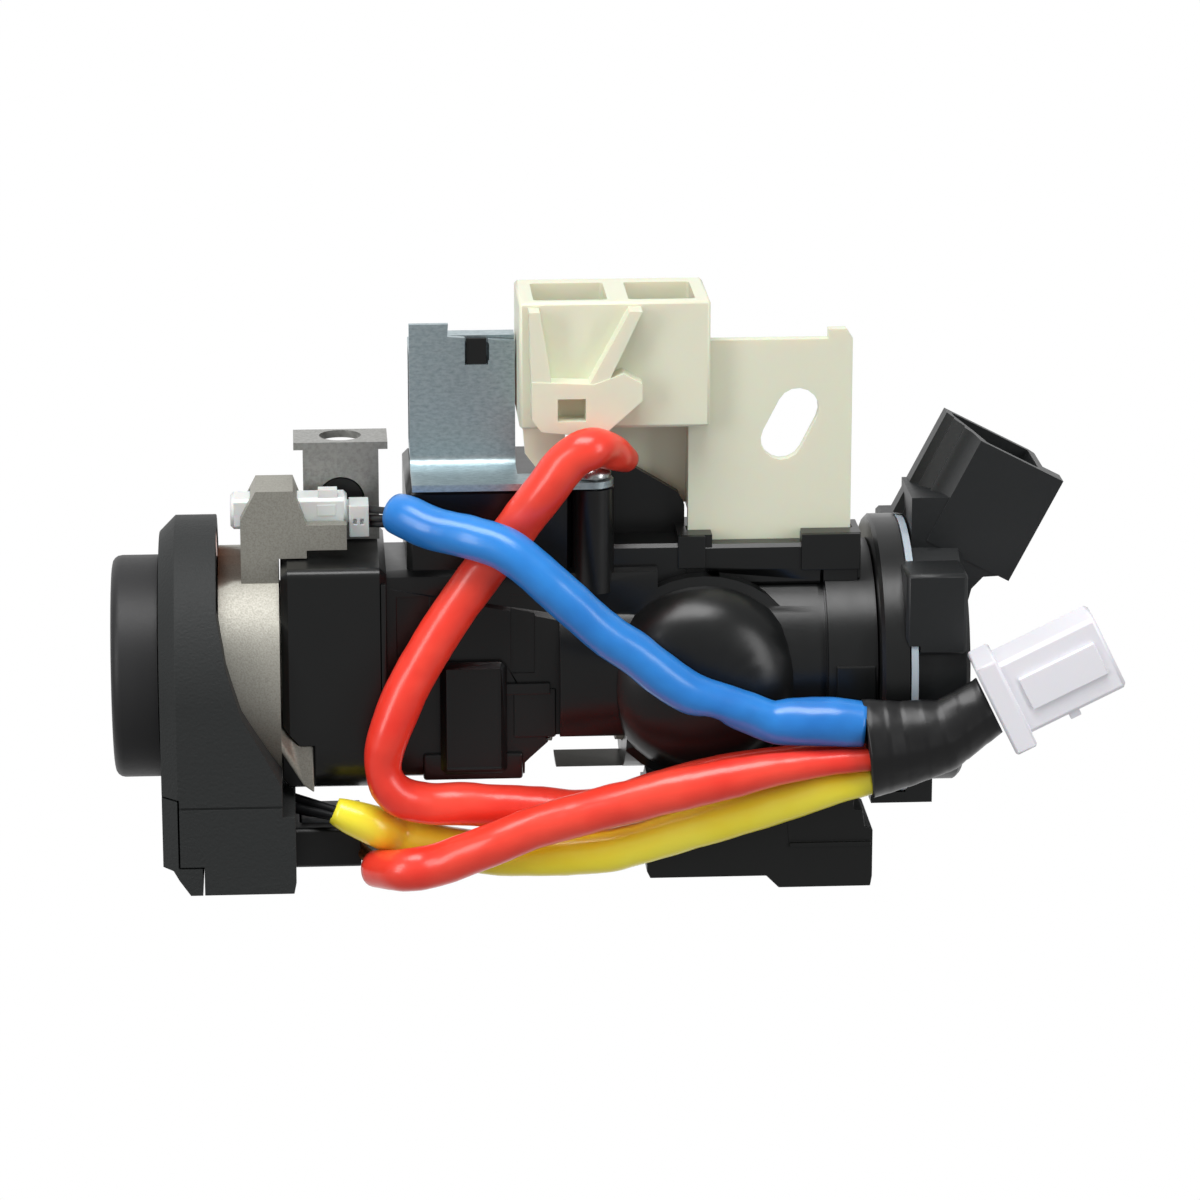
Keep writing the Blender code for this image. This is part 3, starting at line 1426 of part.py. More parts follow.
def make_solenoid_bobbin():
    """Make the bobbin, whose tab shows through the notch of the yoke."""
    low = YOKE_BOTTOM_Z + YOKE_SHEET + GAP
    high = YOKE_TOP_Z - YOKE_STEP - YOKE_SHEET - GAP
    flange = COIL_RADIUS + 0.0004
    core = PLUNGER_RADIUS + 0.0013
    bore = PLUNGER_RADIUS + GAP
    bobbin = turned(
        "bobbin",
        [
            (low, flange),
            (low + BOBBIN_FLANGE, flange),
            (low + BOBBIN_FLANGE, core),
            (high - BOBBIN_FLANGE, core),
            (high - BOBBIN_FLANGE, flange),
            (high, flange),
            (high, bore),
            (low, bore),
        ],
        axis="Z",
        centre=(SOLENOID_X, SOLENOID_Y, 0.0),
        sides=24,
    )
    tab = box(
        "tab",
        (NOTCH_LEFT_X + GAP, YOKE_FRONT_Y + 0.0005, NOTCH_BOTTOM_Z + GAP),
        (
            NOTCH_LEFT_X + NOTCH_WIDTH - GAP,
            SOLENOID_Y - COIL_RADIUS - 0.0002,
            NOTCH_BOTTOM_Z + NOTCH_HEIGHT - GAP,
        ),
    )
    neck = box(
        "neck",
        (NOTCH_LEFT_X + GAP + 0.0001, SOLENOID_Y - COIL_RADIUS - 0.0008, high - BOBBIN_FLANGE + 0.0001),
        (NOTCH_LEFT_X + NOTCH_WIDTH - GAP - 0.0001, SOLENOID_Y - COIL_RADIUS + 0.0030, high - 0.0001),
    )
    return finish(join(bobbin, tab, neck), "solenoid_bobbin", MATT_BLACK)


def make_solenoid_coil():
    """Make the winding between the bobbin's flanges."""
    low = YOKE_BOTTOM_Z + YOKE_SHEET + GAP + BOBBIN_FLANGE + GAP
    high = YOKE_TOP_Z - YOKE_STEP - YOKE_SHEET - GAP - BOBBIN_FLANGE - GAP
    inner = PLUNGER_RADIUS + 0.0013 + GAP
    coil = turned(
        "winding",
        [(low, inner), (low, COIL_RADIUS), (high, COIL_RADIUS), (high, inner)],
        axis="Z",
        centre=(SOLENOID_X, SOLENOID_Y, 0.0),
        sides=24,
    )
    return finish(coil, "solenoid_coil", COPPER)


def make_solenoid_plunger():
    """Make the plunger whose stem drops into the path of the shaft's stop lug."""
    plunger = turned(
        "plunger",
        [
            (PLUNGER_TIP_Z, 0.0),
            (PLUNGER_TIP_Z, PLUNGER_TIP_RADIUS),
            (PLUNGER_BODY_Z, PLUNGER_TIP_RADIUS),
            (PLUNGER_BODY_Z, PLUNGER_RADIUS),
            (PLUNGER_TOP_Z, PLUNGER_RADIUS),
            (PLUNGER_TOP_Z, 0.0),
        ],
        axis="Z",
        sides=24,
    )
    plunger.location = (SOLENOID_X, SOLENOID_Y, 0.0)
    return finish(plunger, "solenoid_plunger", STEEL)


def make_spring(name, low, high, radius, wire, turns, place):
    """Make a coil spring along Z and put it in place."""
    steps = 8
    count = int(turns * steps) + 1
    curve = bpy.data.curves.new(name, "CURVE")
    curve.dimensions = "3D"
    curve.bevel_depth = wire / 2
    curve.bevel_resolution = 1
    curve.use_fill_caps = True
    spline = curve.splines.new("POLY")
    spline.points.add(count - 1)
    for i, point in enumerate(spline.points):
        angle = 2 * math.pi * i / steps
        height = low + wire / 2 + (high - low - wire) * i / (count - 1)
        point.co = (radius * math.cos(angle), radius * math.sin(angle), height, 1.0)
    spring = bake_curve(keep(name, curve))
    spring.data.transform(place)
    return finish(spring, name, STEEL)


def make_springs():
    """Make the plunger's return spring and the lock bolt's spring."""
    make_spring(
        "plunger_spring",
        SPRING_SEAT_Z + GAP,
        PLUNGER_BODY_Z - GAP,
        PLUNGER_RADIUS,
        PLUNGER_WIRE,
        4,
        Matrix.Translation((SOLENOID_X, SOLENOID_Y, 0.0)),
    )
    hook_y = -CAM_BASE_RADIUS - GAP - HOOK_THICKNESS
    make_spring(
        "bolt_spring",
        hook_y * -1 + GAP,
        -(DOME_FRONT_Y + DOME_WALL) - GAP,
        BOLT_SPRING_RADIUS,
        BOLT_WIRE,
        4,
        Matrix.Rotation(math.radians(90), 4, "X"),
    )


def make_yoke_screw():
    """Make the pan head screw in the yoke's ear."""
    seat = YOKE_BOTTOM_Z + YOKE_SHEET + GAP
    head = SCREW_HEAD_RADIUS
    screw = turned(
        "screw",
        [
            (seat - 0.0070, 0.0),
            (seat - 0.0070, SCREW_SHANK_RADIUS),
            (seat, SCREW_SHANK_RADIUS),
            (seat, head),
            (seat + 0.0008, head),
            (seat + 0.0016, head * 0.85),
            (seat + 0.0021, head * 0.55),
            (seat + 0.0021, 0.0),
        ],
        axis="Z",
        centre=(EAR_X, EAR_Y, 0.0),
        sides=20,
    )
    return finish(screw, "yoke_screw", STEEL)


def make_ivory_bracket():
    """Make the connector holder and the slotted bracket plate, moulded as one piece."""
    back = HOLDER_FRONT_Y + HOLDER_DEPTH
    wall = HOLDER_WALL
    holder = box(
        "holder",
        (HOLDER_LEFT_X, HOLDER_FRONT_Y, HOLDER_BOTTOM_Z),
        (HOLDER_RIGHT_X, back, HOLDER_TOP_Z),
        0.0005,
        segments=1,
    )
    slot = stadium((SLOT_CENTRE_X, SLOT_CENTRE_Z), SLOT_WIDTH, SLOT_LENGTH, SLOT_LEAN)
    bracket = plate(
        "bracket",
        [
            (PLATE_LEFT_X, PLATE_SEAT_Z + GAP),
            (PLATE_RIGHT_X, PLATE_SEAT_Z + GAP),
            (PLATE_RIGHT_X, PLATE_TOP_Z),
            (PLATE_RIGHT_X - 0.0011, PLATE_TOP_Z + 0.0017),
            (PLATE_RIGHT_X - 0.0042, PLATE_TOP_Z + 0.0017),
            (PLATE_RIGHT_X - 0.0042, PLATE_TOP_Z),
            (HOLDER_RIGHT_X - 0.001, PLATE_TOP_Z),
            (HOLDER_RIGHT_X - 0.001, HOLDER_BOTTOM_Z + 0.001),
            (PLATE_LEFT_X, HOLDER_BOTTOM_Z + 0.001),
        ],
        PLATE_FRONT_Y,
        PLATE_FRONT_Y + PLATE_THICKNESS,
        holes=[slot],
    )
    side_wall = box(
        "side_wall",
        (PLATE_LEFT_X + 0.0001, PLATE_FRONT_Y + 0.0005, 0.0280),
        (PLATE_LEFT_X + 0.0020, WEB_BACK_Y, HOLDER_BOTTOM_Z + 0.001),
    )
    web = plate(
        "web",
        [
            (-0.0180, HOLDER_BOTTOM_Z + 0.001),
            (-0.0180, 0.0385),
            (-0.0030, 0.0282),
            (PLATE_LEFT_X + 0.001, 0.0282),
            (PLATE_LEFT_X + 0.001, HOLDER_BOTTOM_Z + 0.001),
        ],
        WEB_BACK_Y - 0.0018,
        WEB_BACK_Y - 0.0001,
    )
    flap = plate(
        "flap",
        [
            (-0.0310, HOLDER_BOTTOM_Z + 0.001),
            (-0.0306, 0.0400),
            (-0.0285, 0.0372),
            (-0.0240, 0.0372),
            (-0.0236, HOLDER_BOTTOM_Z + 0.001),
        ],
        HOLDER_FRONT_Y + 0.0005,
        HOLDER_FRONT_Y + 0.0015,
    )
    join(holder, bracket, side_wall, web, flap)
    arm_y = HOLDER_FRONT_Y - LATCH_DEPTH
    left_arm = plate(
        "left_arm",
        [(-0.0300, 0.0655), (-0.0282, 0.0655), (-0.0262, 0.0530), (-0.0262, 0.0500), (-0.0296, 0.0500)],
        arm_y,
        HOLDER_FRONT_Y + 0.0004,
    )
    right_arm = plate(
        "right_arm",
        [(-0.0108, 0.0655), (-0.0130, 0.0655), (-0.0198, 0.0530), (-0.0198, 0.0500), (-0.0172, 0.0520)],
        arm_y,
        HOLDER_FRONT_Y + 0.0005,
    )
    latch = plate(
        "latch",
        [
            (-0.0296, 0.0535),
            (-0.0296, 0.0470),
            (-0.0280, 0.0448),
            (-0.0205, 0.0440),
            (-0.0180, 0.0436),
            (-0.0108, 0.0500),
            (-0.0108, 0.0530),
            (-0.0140, 0.0548),
            (-0.0190, 0.0530),
        ],
        arm_y - 0.0002,
        HOLDER_FRONT_Y + 0.0006,
        holes=[[(-0.0252, 0.0505), (-0.0252, 0.0466), (-0.0204, 0.0466), (-0.0204, 0.0505)]],
    )
    join(holder, latch, left_arm, right_arm)
    middle = (HOLDER_LEFT_X + HOLDER_RIGHT_X) / 2 + 0.0006
    for low_x, high_x in (
        (HOLDER_LEFT_X + wall * 1.4, middle - wall),
        (middle + wall, HOLDER_RIGHT_X - wall * 1.4),
    ):
        cavity = box(
            "cavity",
            (low_x, HOLDER_FRONT_Y + wall, HOLDER_BOTTOM_Z + 0.0040),
            (high_x, back - wall * 2, HOLDER_TOP_Z + 0.01),
            0.0005,
            along="Z",
            segments=1,
        )
        cut(holder, cavity)
    return finish(holder, "ivory_bracket", IVORY)


def make_lower_connector():
    """Make the connector block that clips under the housing, with its mouth to the right."""
    front = LOWER_FRONT_Y
    back = front + LOWER_DEPTH
    block = plate(
        "block",
        [
            (LOWER_LEFT_X, LOWER_BOTTOM_Z + 0.0012),
            (LOWER_LEFT_X + 0.0006, LOWER_BOTTOM_Z),
            (LOWER_STEP_X, LOWER_BOTTOM_Z),
            (LOWER_STEP_X + 0.0022, LOWER_MOUTH_BOTTOM_Z),
            (LOWER_MOUTH_X - 0.0003, LOWER_MOUTH_BOTTOM_Z),
            (LOWER_MOUTH_X, LOWER_MOUTH_BOTTOM_Z + 0.0018),
            (LOWER_MOUTH_X, LOWER_MOUTH_TOP_Z),
            (LOWER_MOUTH_X - 0.0014, LOWER_MOUTH_TOP_Z + 0.0006),
            (LOWER_MOUTH_X - 0.0018, LOWER_MOUTH_TOP_Z + 0.0035),
            (LOWER_MOUTH_X - 0.0034, LOWER_MOUTH_TOP_Z + 0.0038),
            (LOWER_MOUTH_X - 0.0034, -0.0120),
            (LOWER_LEFT_X, -0.0120),
        ],
        front,
        back,
    )
    core = rod("core", (-0.05, 0, 0), (0.05, 0, 0), RIGHT_RADIUS + GAP, sides=40)
    dome = rod("dome", (0, DOME_FRONT_Y - 0.001, 0), (0, 0.01, 0), DOME_FLANGE_RADIUS + GAP, sides=40)
    wall = LOWER_WALL
    cavity = box(
        "cavity",
        (LOWER_MOUTH_X - LOWER_CAVITY, front + wall, LOWER_MOUTH_BOTTOM_Z + wall),
        (LOWER_MOUTH_X + 0.01, back - wall, LOWER_MOUTH_TOP_Z - wall),
    )
    rib = box(
        "rib",
        (LOWER_STEP_X + 0.004, front - 0.0006, -0.0290),
        (LOWER_MOUTH_X - 0.0004, front + 0.0002, -0.0282),
    )
    join(block, rib)
    cut(block, core)
    cut(block, dome)
    cut(block, cavity)
    for depth in lower_pins():
        hole = box(
            "hole",
            (
                LOWER_MOUTH_X - LOWER_CAVITY - PIN_SEAT - GAP,
                depth - PIN_WIDTH / 2 - GAP,
                LOWER_PIN_Z - PIN_THICKNESS / 2 - GAP,
            ),
            (
                LOWER_MOUTH_X - LOWER_CAVITY + 0.001,
                depth + PIN_WIDTH / 2 + GAP,
                LOWER_PIN_Z + PIN_THICKNESS / 2 + GAP,
            ),
        )
        cut(block, hole)
    return finish(block, "lower_connector", GLOSS_BLACK)


def lower_pins():
    """List the depths of the blades in the lower connector."""
    return [LOWER_FRONT_Y + LOWER_DEPTH * share for share in (0.27, 0.5, 0.73)]


def make_lower_pins():
    """Make the contact blades of the lower connector."""
    left = LOWER_MOUTH_X - LOWER_CAVITY
    for number, depth in enumerate(lower_pins(), start=1):
        blade = box(
            "blade",
            (left - PIN_SEAT, depth - PIN_WIDTH / 2, LOWER_PIN_Z - PIN_THICKNESS / 2),
            (left + PIN_REACH, depth + PIN_WIDTH / 2, LOWER_PIN_Z + PIN_THICKNESS / 2),
            0.0002,
            along="X",
            segments=1,
        )
        finish(blade, f"lower_pin_{number}", BRASS)


def make_lug_bracket():
    """Make the bent steel bracket: a drilled flange, a web and a foot, from one strip."""
    sheet = LUG_SHEET
    front = LUG_FRONT_Y
    top = LUG_TOP_Z
    foot_z = LEFT_SECTION_TOP_Z + GAP
    bend = 0.0020
    outer = bend + sheet
    profile = [(front + LUG_DEPTH, top)]
    profile += arc((front + outer, top - outer), outer, 90.0, 180.0, 5)
    profile += [(front, foot_z), (front + LUG_FOOT, foot_z), (front + LUG_FOOT, foot_z + sheet)]
    profile += [(front + sheet, foot_z + sheet)]
    profile += arc((front + outer, top - outer), bend, 180.0, 90.0, 5)
    profile += [(front + LUG_DEPTH, top - sheet)]
    bracket = plate("bracket", profile, LUG_LEFT_X, LUG_RIGHT_X, facing="X")
    low_z = top - outer - 0.0002
    for left, right in (
        (LUG_LEFT_X - 0.001, LUG_LEFT_X + LUG_WEB_INSET),
        (LUG_RIGHT_X - LUG_WEB_INSET, LUG_RIGHT_X + 0.001),
    ):
        cut(
            bracket,
            box("side", (left, front - 0.001, foot_z - 0.001), (right, front + LUG_FOOT + 0.001, low_z)),
        )
    centre_x = (LUG_LEFT_X + LUG_RIGHT_X) / 2
    hole_y = front + LUG_DEPTH * 0.56
    hole = rod(
        "hole",
        (centre_x, hole_y, top - 0.004),
        (centre_x, hole_y, top + 0.002),
        LUG_HOLE_RADIUS,
        sides=28,
    )
    opening = rod(
        "opening",
        (centre_x, front - 0.002, LUG_WEB_HOLE_Z),
        (centre_x, front + 0.004, LUG_WEB_HOLE_Z),
        LUG_WEB_HOLE_RADIUS,
        sides=28,
    )
    screw_hole = rod(
        "screw_hole",
        (centre_x, LUG_SCREW_Y, foot_z - 0.002),
        (centre_x, LUG_SCREW_Y, foot_z + 0.004),
        LUG_SCREW_RADIUS + GAP,
        sides=20,
    )
    cut(bracket, hole)
    cut(bracket, opening)
    cut(bracket, screw_hole)
    return finish(bracket, "lug_bracket", STEEL)


def make_lug_screw():
    """Make the screw that holds the lug bracket's foot on the housing."""
    seat = LEFT_SECTION_TOP_Z + GAP + LUG_SHEET + GAP
    head = LUG_SCREW_RADIUS * 1.9
    screw = turned(
        "screw",
        [
            (LUG_SCREW_END_Z, 0.0),
            (LUG_SCREW_END_Z, LUG_SCREW_RADIUS),
            (seat, LUG_SCREW_RADIUS),
            (seat, head),
            (seat + 0.0010, head),
            (seat + 0.0018, head * 0.7),
            (seat + 0.0018, 0.0),
        ],
        axis="Z",
        centre=((LUG_LEFT_X + LUG_RIGHT_X) / 2, LUG_SCREW_Y, 0.0),
        sides=20,
    )
    return finish(screw, "lug_screw", STEEL)


def make_warning_switch():
    """Make the slim key warning switch that lies in the casting's pocket."""
    front = WARNING_FRONT_Y
    back = front + WARNING_DEPTH
    body = box(
        "body",
        (WARNING_LEFT_X, front, WARNING_BOTTOM_Z),
        (WARNING_RIGHT_X, back, WARNING_TOP_Z),
        0.0006,
        segments=1,
    )
    tab = box(
        "tab",
        (-0.0660, front + 0.0005, WARNING_TOP_Z - 0.001),
        (-0.0627, front + 0.0030, WARNING_TOP_Z + 0.0013),
    )
    latch = box("latch", (-0.0662, front - 0.0001, 0.0285), (-0.0630, front + 0.001, 0.0304))
    socket = box(
        "socket",
        (WARNING_RIGHT_X - 0.0030 - GAP, front + 0.0010 - GAP, WARNING_BOTTOM_Z + 0.0008 - GAP),
        (WARNING_RIGHT_X + 0.001, back - 0.0010 + GAP, WARNING_TOP_Z - 0.0012 + GAP),
    )
    join(body, tab, latch)
    return finish(cut(body, socket), "warning_switch", NATURAL)


def make_warning_plug():
    """Make the small plug in the end of the key warning switch."""
    front = WARNING_FRONT_Y
    back = front + WARNING_DEPTH
    left = WARNING_RIGHT_X + GAP
    plug = box("plug", (left, front, 0.0246), (left + WARNING_PLUG_LENGTH, back, 0.0301))
    nose = box(
        "nose",
        (WARNING_RIGHT_X - 0.0030, front + 0.0010, WARNING_BOTTOM_Z + 0.0008),
        (left + 0.001, back - 0.0010, 0.0300),
    )
    join(plug, nose)
    for x in (left + 0.0007, left + 0.0019):
        cut(plug, box("window", (x, front - 0.001, 0.0268), (x + 0.0006, front + 0.0008, 0.0278)))
    return finish(plug, "warning_switch_plug", NATURAL)


# Routes of the free sleeves and wires: places on the centre line and the share of full radius
BLUE_ROUTE = (
    (-0.0552, -0.0139, 0.0309, 1.0),
    (-0.0518, -0.0173, 0.0308, 1.0),
    (-0.0465, -0.0209, 0.0294, 1.0),
    (-0.0405, -0.0235, 0.0286, 1.0),
    (-0.0351, -0.0260, 0.0273, 1.0),
    (-0.0301, -0.0275, 0.0239, 1.0),
    (-0.0244, -0.0285, 0.0187, 1.0),
    (-0.0178, -0.0290, 0.0127, 1.0),
    (-0.0134, -0.0290, 0.0096, 1.0),
    (-0.0088, -0.0290, 0.0058, 1.0),
    (-0.0052, -0.0290, 0.0030, 1.0),
    (-0.0016, -0.0290, 0.0011, 1.0),
    (0.0055, -0.0292, -0.0014, 1.0),
    (0.0102, -0.0294, -0.0033, 1.0),
    (0.0145, -0.0296, -0.0039, 1.0),
    (0.0205, -0.0302, -0.0040, 0.98),
    (0.0262, -0.0306, -0.0044, 0.90),
)
UPPER_RED_ROUTE = (
    (-0.0110, -0.0113, 0.0376, 0.80),
    (-0.0146, -0.0172, 0.0411, 0.90),
    (-0.0196, -0.0215, 0.0431, 1.0),
    (-0.0234, -0.0214, 0.0413, 1.0),
    (-0.0276, -0.0208, 0.0359, 1.0),
    (-0.0327, -0.0184, 0.0284, 1.0),
    (-0.0387, -0.0195, 0.0208, 1.0),
    (-0.0439, -0.0205, 0.0137, 1.0),
    (-0.0486, -0.0215, 0.0065, 1.0),
    (-0.0523, -0.0225, -0.0003, 1.0),
    (-0.0551, -0.0230, -0.0081, 0.95),
    (-0.0555, -0.0230, -0.0135, 0.85),
    (-0.0533, -0.0220, -0.0175, 0.95),
    (-0.0485, -0.0210, -0.0194, 1.0),
    (-0.0425, -0.0205, -0.0198, 1.0),
    (-0.0356, -0.0200, -0.0205, 1.0),
    (-0.0287, -0.0200, -0.0210, 1.0),
    (-0.0218, -0.0210, -0.0212, 0.95),
    (-0.0150, -0.0230, -0.0189, 0.80),
    (-0.0082, -0.0243, -0.0159, 0.70),
    (0.0020, -0.0252, -0.0127, 0.60),
    (0.0124, -0.0256, -0.0110, 0.55),
    (0.0211, -0.0260, -0.0102, 0.50),
    (0.0275, -0.0265, -0.0103, 0.50),
)
LOWER_RED_ROUTE = (
    (-0.0572, -0.0190, -0.0318, 0.85),
    (-0.0525, -0.0248, -0.0302, 1.0),
    (-0.0473, -0.0262, -0.0290, 1.0),
    (-0.0419, -0.0278, -0.0266, 1.0),
    (-0.0360, -0.0290, -0.0240, 1.0),
    (-0.0307, -0.0290, -0.0218, 1.0),
    (-0.0225, -0.0300, -0.0191, 1.0),
    (-0.0122, -0.0318, -0.0158, 1.0),
    (-0.0034, -0.0326, -0.0136, 1.0),
    (0.0048, -0.0328, -0.0118, 0.90),
    (0.0124, -0.0324, -0.0106, 0.75),
    (0.0205, -0.0320, -0.0099, 0.60),
    (0.0274, -0.0316, -0.0097, 0.52),
)
YELLOW_ROUTE = (
    (-0.0645, -0.0190, -0.0204, 1.0),
    (-0.0617, -0.0192, -0.0217, 1.0),
    (-0.0575, -0.0190, -0.0238, 1.0),
    (-0.0530, -0.0160, -0.0267, 1.0),
    (-0.0478, -0.0162, -0.0284, 1.0),
    (-0.0408, -0.0180, -0.0292, 1.0),
    (-0.0356, -0.0195, -0.0296, 1.0),
    (-0.0303, -0.0210, -0.0292, 1.0),
    (-0.0243, -0.0222, -0.0288, 1.0),
    (-0.0171, -0.0234, -0.0279, 1.0),
    (-0.0117, -0.0242, -0.0264, 1.0),
    (-0.0088, -0.0246, -0.0254, 1.0),
    (0.0012, -0.0256, -0.0222, 1.0),
    (0.0129, -0.0270, -0.0184, 0.95),
    (0.0205, -0.0286, -0.0157, 0.82),
    (0.0281, -0.0298, -0.0140, 0.60),
)


def smooth_route(route, spacing):
    """Read evenly spaced points from a smooth curve through a route's points."""
    places = [Vector(point[:3]) for point in route]
    shares = [point[3] for point in route]
    fine = []
    last = len(places) - 1
    for i in range(last):
        before = places[max(i - 1, 0)]
        after = places[min(i + 2, last)]
        for step in range(12):
            t = step / 12
            tangent_a = (places[i + 1] - before) / 2
            tangent_b = (after - places[i]) / 2
            a = 2 * t**3 - 3 * t**2 + 1
            b = t**3 - 2 * t**2 + t
            c = -2 * t**3 + 3 * t**2
            d = t**3 - t**2
            spot = places[i] * a + tangent_a * b + places[i + 1] * c + tangent_b * d
            fine.append((spot, shares[i] + (shares[i + 1] - shares[i]) * t))
    fine.append((places[-1], shares[-1]))
    length = sum((fine[i + 1][0] - fine[i][0]).length for i in range(len(fine) - 1))
    count = max(2, round(length / spacing))
    picked = [fine[0]]
    walked = 0.0
    for i in range(1, len(fine)):
        walked += (fine[i][0] - fine[i - 1][0]).length
        if walked >= len(picked) * length / count - 1e-9 and len(picked) < count:
            picked.append(fine[i])
    picked.append(fine[-1])
    return picked


def make_tube(name, route, radius, material, spacing, resolution):
    """Make a cord's tube along a route, on a smooth curve."""
    points = smooth_route(route, spacing)
    curve = bpy.data.curves.new(name, "CURVE")
    curve.dimensions = "3D"
    curve.bevel_depth = radius
    curve.bevel_resolution = resolution
    curve.use_fill_caps = True
    spline = curve.splines.new("POLY")
    spline.points.add(len(points) - 1)
    for point, (spot, share) in zip(spline.points, points):
        point.co = (*spot, 1.0)
        point.radius = share
    return finish(bake_curve(keep(name, curve)), name, material, 60.0)


def make_sleeves():
    """Make the four coloured sleeves."""
    step = SLEEVE_RADIUS * SLEEVE_POINT_STEP
    make_tube("blue_sleeve", BLUE_ROUTE, SLEEVE_RADIUS, BLUE, step, 2)
    make_tube("upper_red_sleeve", UPPER_RED_ROUTE, SLEEVE_RADIUS, RED, step, 2)
    make_tube("lower_red_sleeve", LOWER_RED_ROUTE, SLEEVE_RADIUS, RED, step, 2)
    make_tube("yellow_sleeve", YELLOW_ROUTE, SLEEVE_RADIUS, YELLOW, step, 2)


def loop_ring(centre, normal, half_width, half_height, count=16):
    """List the points of an ellipse across a line, upright as far as it can be."""
    normal = Vector(normal).normalized()
    side = normal.cross(Vector((0, 0, 1))).normalized()
    up = side.cross(normal).normalized()
    points = []
    for i in range(count):
        angle = 2 * math.pi * i / count
        points.append(
            Vector(centre) + side * half_width * math.cos(angle) + up * half_height * math.sin(angle)
        )
    return points


def loft(name, rings):
    """Join rings of points by a closed skin with flat ends."""
    shape = bmesh.new()
    loops = [[shape.verts.new(point) for point in ring] for ring in rings]
    count = len(loops[0])
    for first, second in zip(loops, loops[1:]):
        for i in range(count):
            shape.faces.new((first[i], first[(i + 1) % count], second[(i + 1) % count], second[i]))
    shape.faces.new(loops[0])
    shape.faces.new(loops[-1])
    return keep_bmesh(name, shape)


def make_tape_wrap():
    """Make the taped trunk that gathers the sleeves, tapering towards the plug."""
    end = plug_place() @ Vector((-GAP, 0.0, -0.0036))
    run = plug_place().to_3x3() @ Vector((1.0, 0.0, 0.0))
    rings = [
        loop_ring((0.0279, -0.0304, -0.0080), (1.0, 0.0, 0.18), 0.0062, 0.0084),
        loop_ring((0.0335, -0.0304, -0.0072), (1.0, 0.0, 0.20), 0.0059, 0.0078),
        loop_ring((0.0405, -0.0303, -0.0057), (1.0, 0.0, 0.30), 0.0054, 0.0066),
        loop_ring(end, run, 0.0046, 0.0052),
    ]
    return finish(loft("tape", rings), "tape_wrap", MATT_BLACK, 60.0)


def plug_place():
    """Give the transform of the harness plug: X along it and Z up its broad side."""
    return Matrix.Translation(PLUG_PLACE) @ Matrix.Rotation(-PLUG_RISE, 4, "Y")


def make_harness_plug():
    """Make the white plug at the end of the harness."""
    half = HARNESS_PLUG_HEIGHT / 2
    deep = HARNESS_PLUG_DEPTH / 2
    body = box(
        "body",
        (0.0030, -deep, -half),
        (0.0030 + HARNESS_PLUG_LENGTH, deep, half),
        0.0006,
        segments=1,
    )
    flange = box(
        "flange",
        (0.0, -deep - 0.0010, -half - 0.0022),
        (0.0040, deep + 0.0010, half + 0.0012),
        0.0004,
        segments=1,
    )
    nub = box("nub", (0.0110, -deep + 0.0010, -half - 0.0012), (0.0130, deep - 0.0010, -half + 0.001))
    ridge = box("ridge", (0.0060, -deep - 0.0007, -0.0030), (0.0200, -deep + 0.001, 0.0030))
    join(body, flange, nub, ridge)
    cavity = box("cavity", (0.0140, -deep + 0.0011, -half + 0.0011), (0.05, deep - 0.0011, half - 0.0011))
    cut(body, cavity)
    move(body, plug_place())
    return finish(body, "harness_plug", WHITE)


def build():
    """Make every piece."""
    make_bezel()
    make_cylinder_sleeve()
    make_key_rotor()
    make_key_shutter()
    make_antenna_housing()
    make_antenna_cover()
    make_antenna_coil()
    make_antenna_board()
    make_antenna_plug()
    make_antenna_plug_lock()
    make_lock_body()
    make_main_housing()
    make_cam_shaft()
    make_lock_bolt()
    make_switch_rotor()
    make_switch_housing()
    make_switch_gasket()
    make_switch_base()
    make_switch_pins()
    make_solenoid_yoke()
    make_solenoid_frame()
    make_solenoid_bobbin()
    make_solenoid_coil()
    make_solenoid_plunger()
    make_springs()
    make_yoke_screw()
    make_ivory_bracket()
    make_lower_connector()
    make_lower_pins()
    make_lug_bracket()
    make_lug_screw()
    make_warning_switch()
    make_warning_plug()
    make_sleeves()
    make_tape_wrap()
    make_harness_plug()


build()

lock_frame = bpy.data.objects.new("lock_frame", None)
lock_frame.location = (0.0, -KEY_TO_COLUMN, 0.0)
PARTS.objects.link(lock_frame)
for item in list(PARTS.objects):
    if item.type == "MESH" and item.parent is None:
        item.parent = lock_frame
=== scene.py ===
"""The looks of an ignition lock with its steering lock, antenna ring, solenoid, switch and harness."""

import math

import bmesh
import bpy
from mathutils import Matrix, Vector, noise


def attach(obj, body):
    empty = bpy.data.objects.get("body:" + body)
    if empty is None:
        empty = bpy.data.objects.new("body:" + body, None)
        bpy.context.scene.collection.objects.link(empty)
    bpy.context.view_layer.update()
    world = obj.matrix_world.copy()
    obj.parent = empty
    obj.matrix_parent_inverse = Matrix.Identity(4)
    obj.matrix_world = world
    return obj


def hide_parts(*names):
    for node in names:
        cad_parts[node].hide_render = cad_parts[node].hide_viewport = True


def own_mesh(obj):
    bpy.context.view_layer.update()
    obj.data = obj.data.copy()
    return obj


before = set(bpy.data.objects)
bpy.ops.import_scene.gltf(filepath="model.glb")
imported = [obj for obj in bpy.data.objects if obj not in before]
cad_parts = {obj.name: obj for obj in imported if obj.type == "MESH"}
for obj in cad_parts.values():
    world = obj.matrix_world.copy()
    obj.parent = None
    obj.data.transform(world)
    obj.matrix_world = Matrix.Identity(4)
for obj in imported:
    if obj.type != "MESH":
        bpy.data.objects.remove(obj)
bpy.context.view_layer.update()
bpy.ops.object.select_all(action="DESELECT")

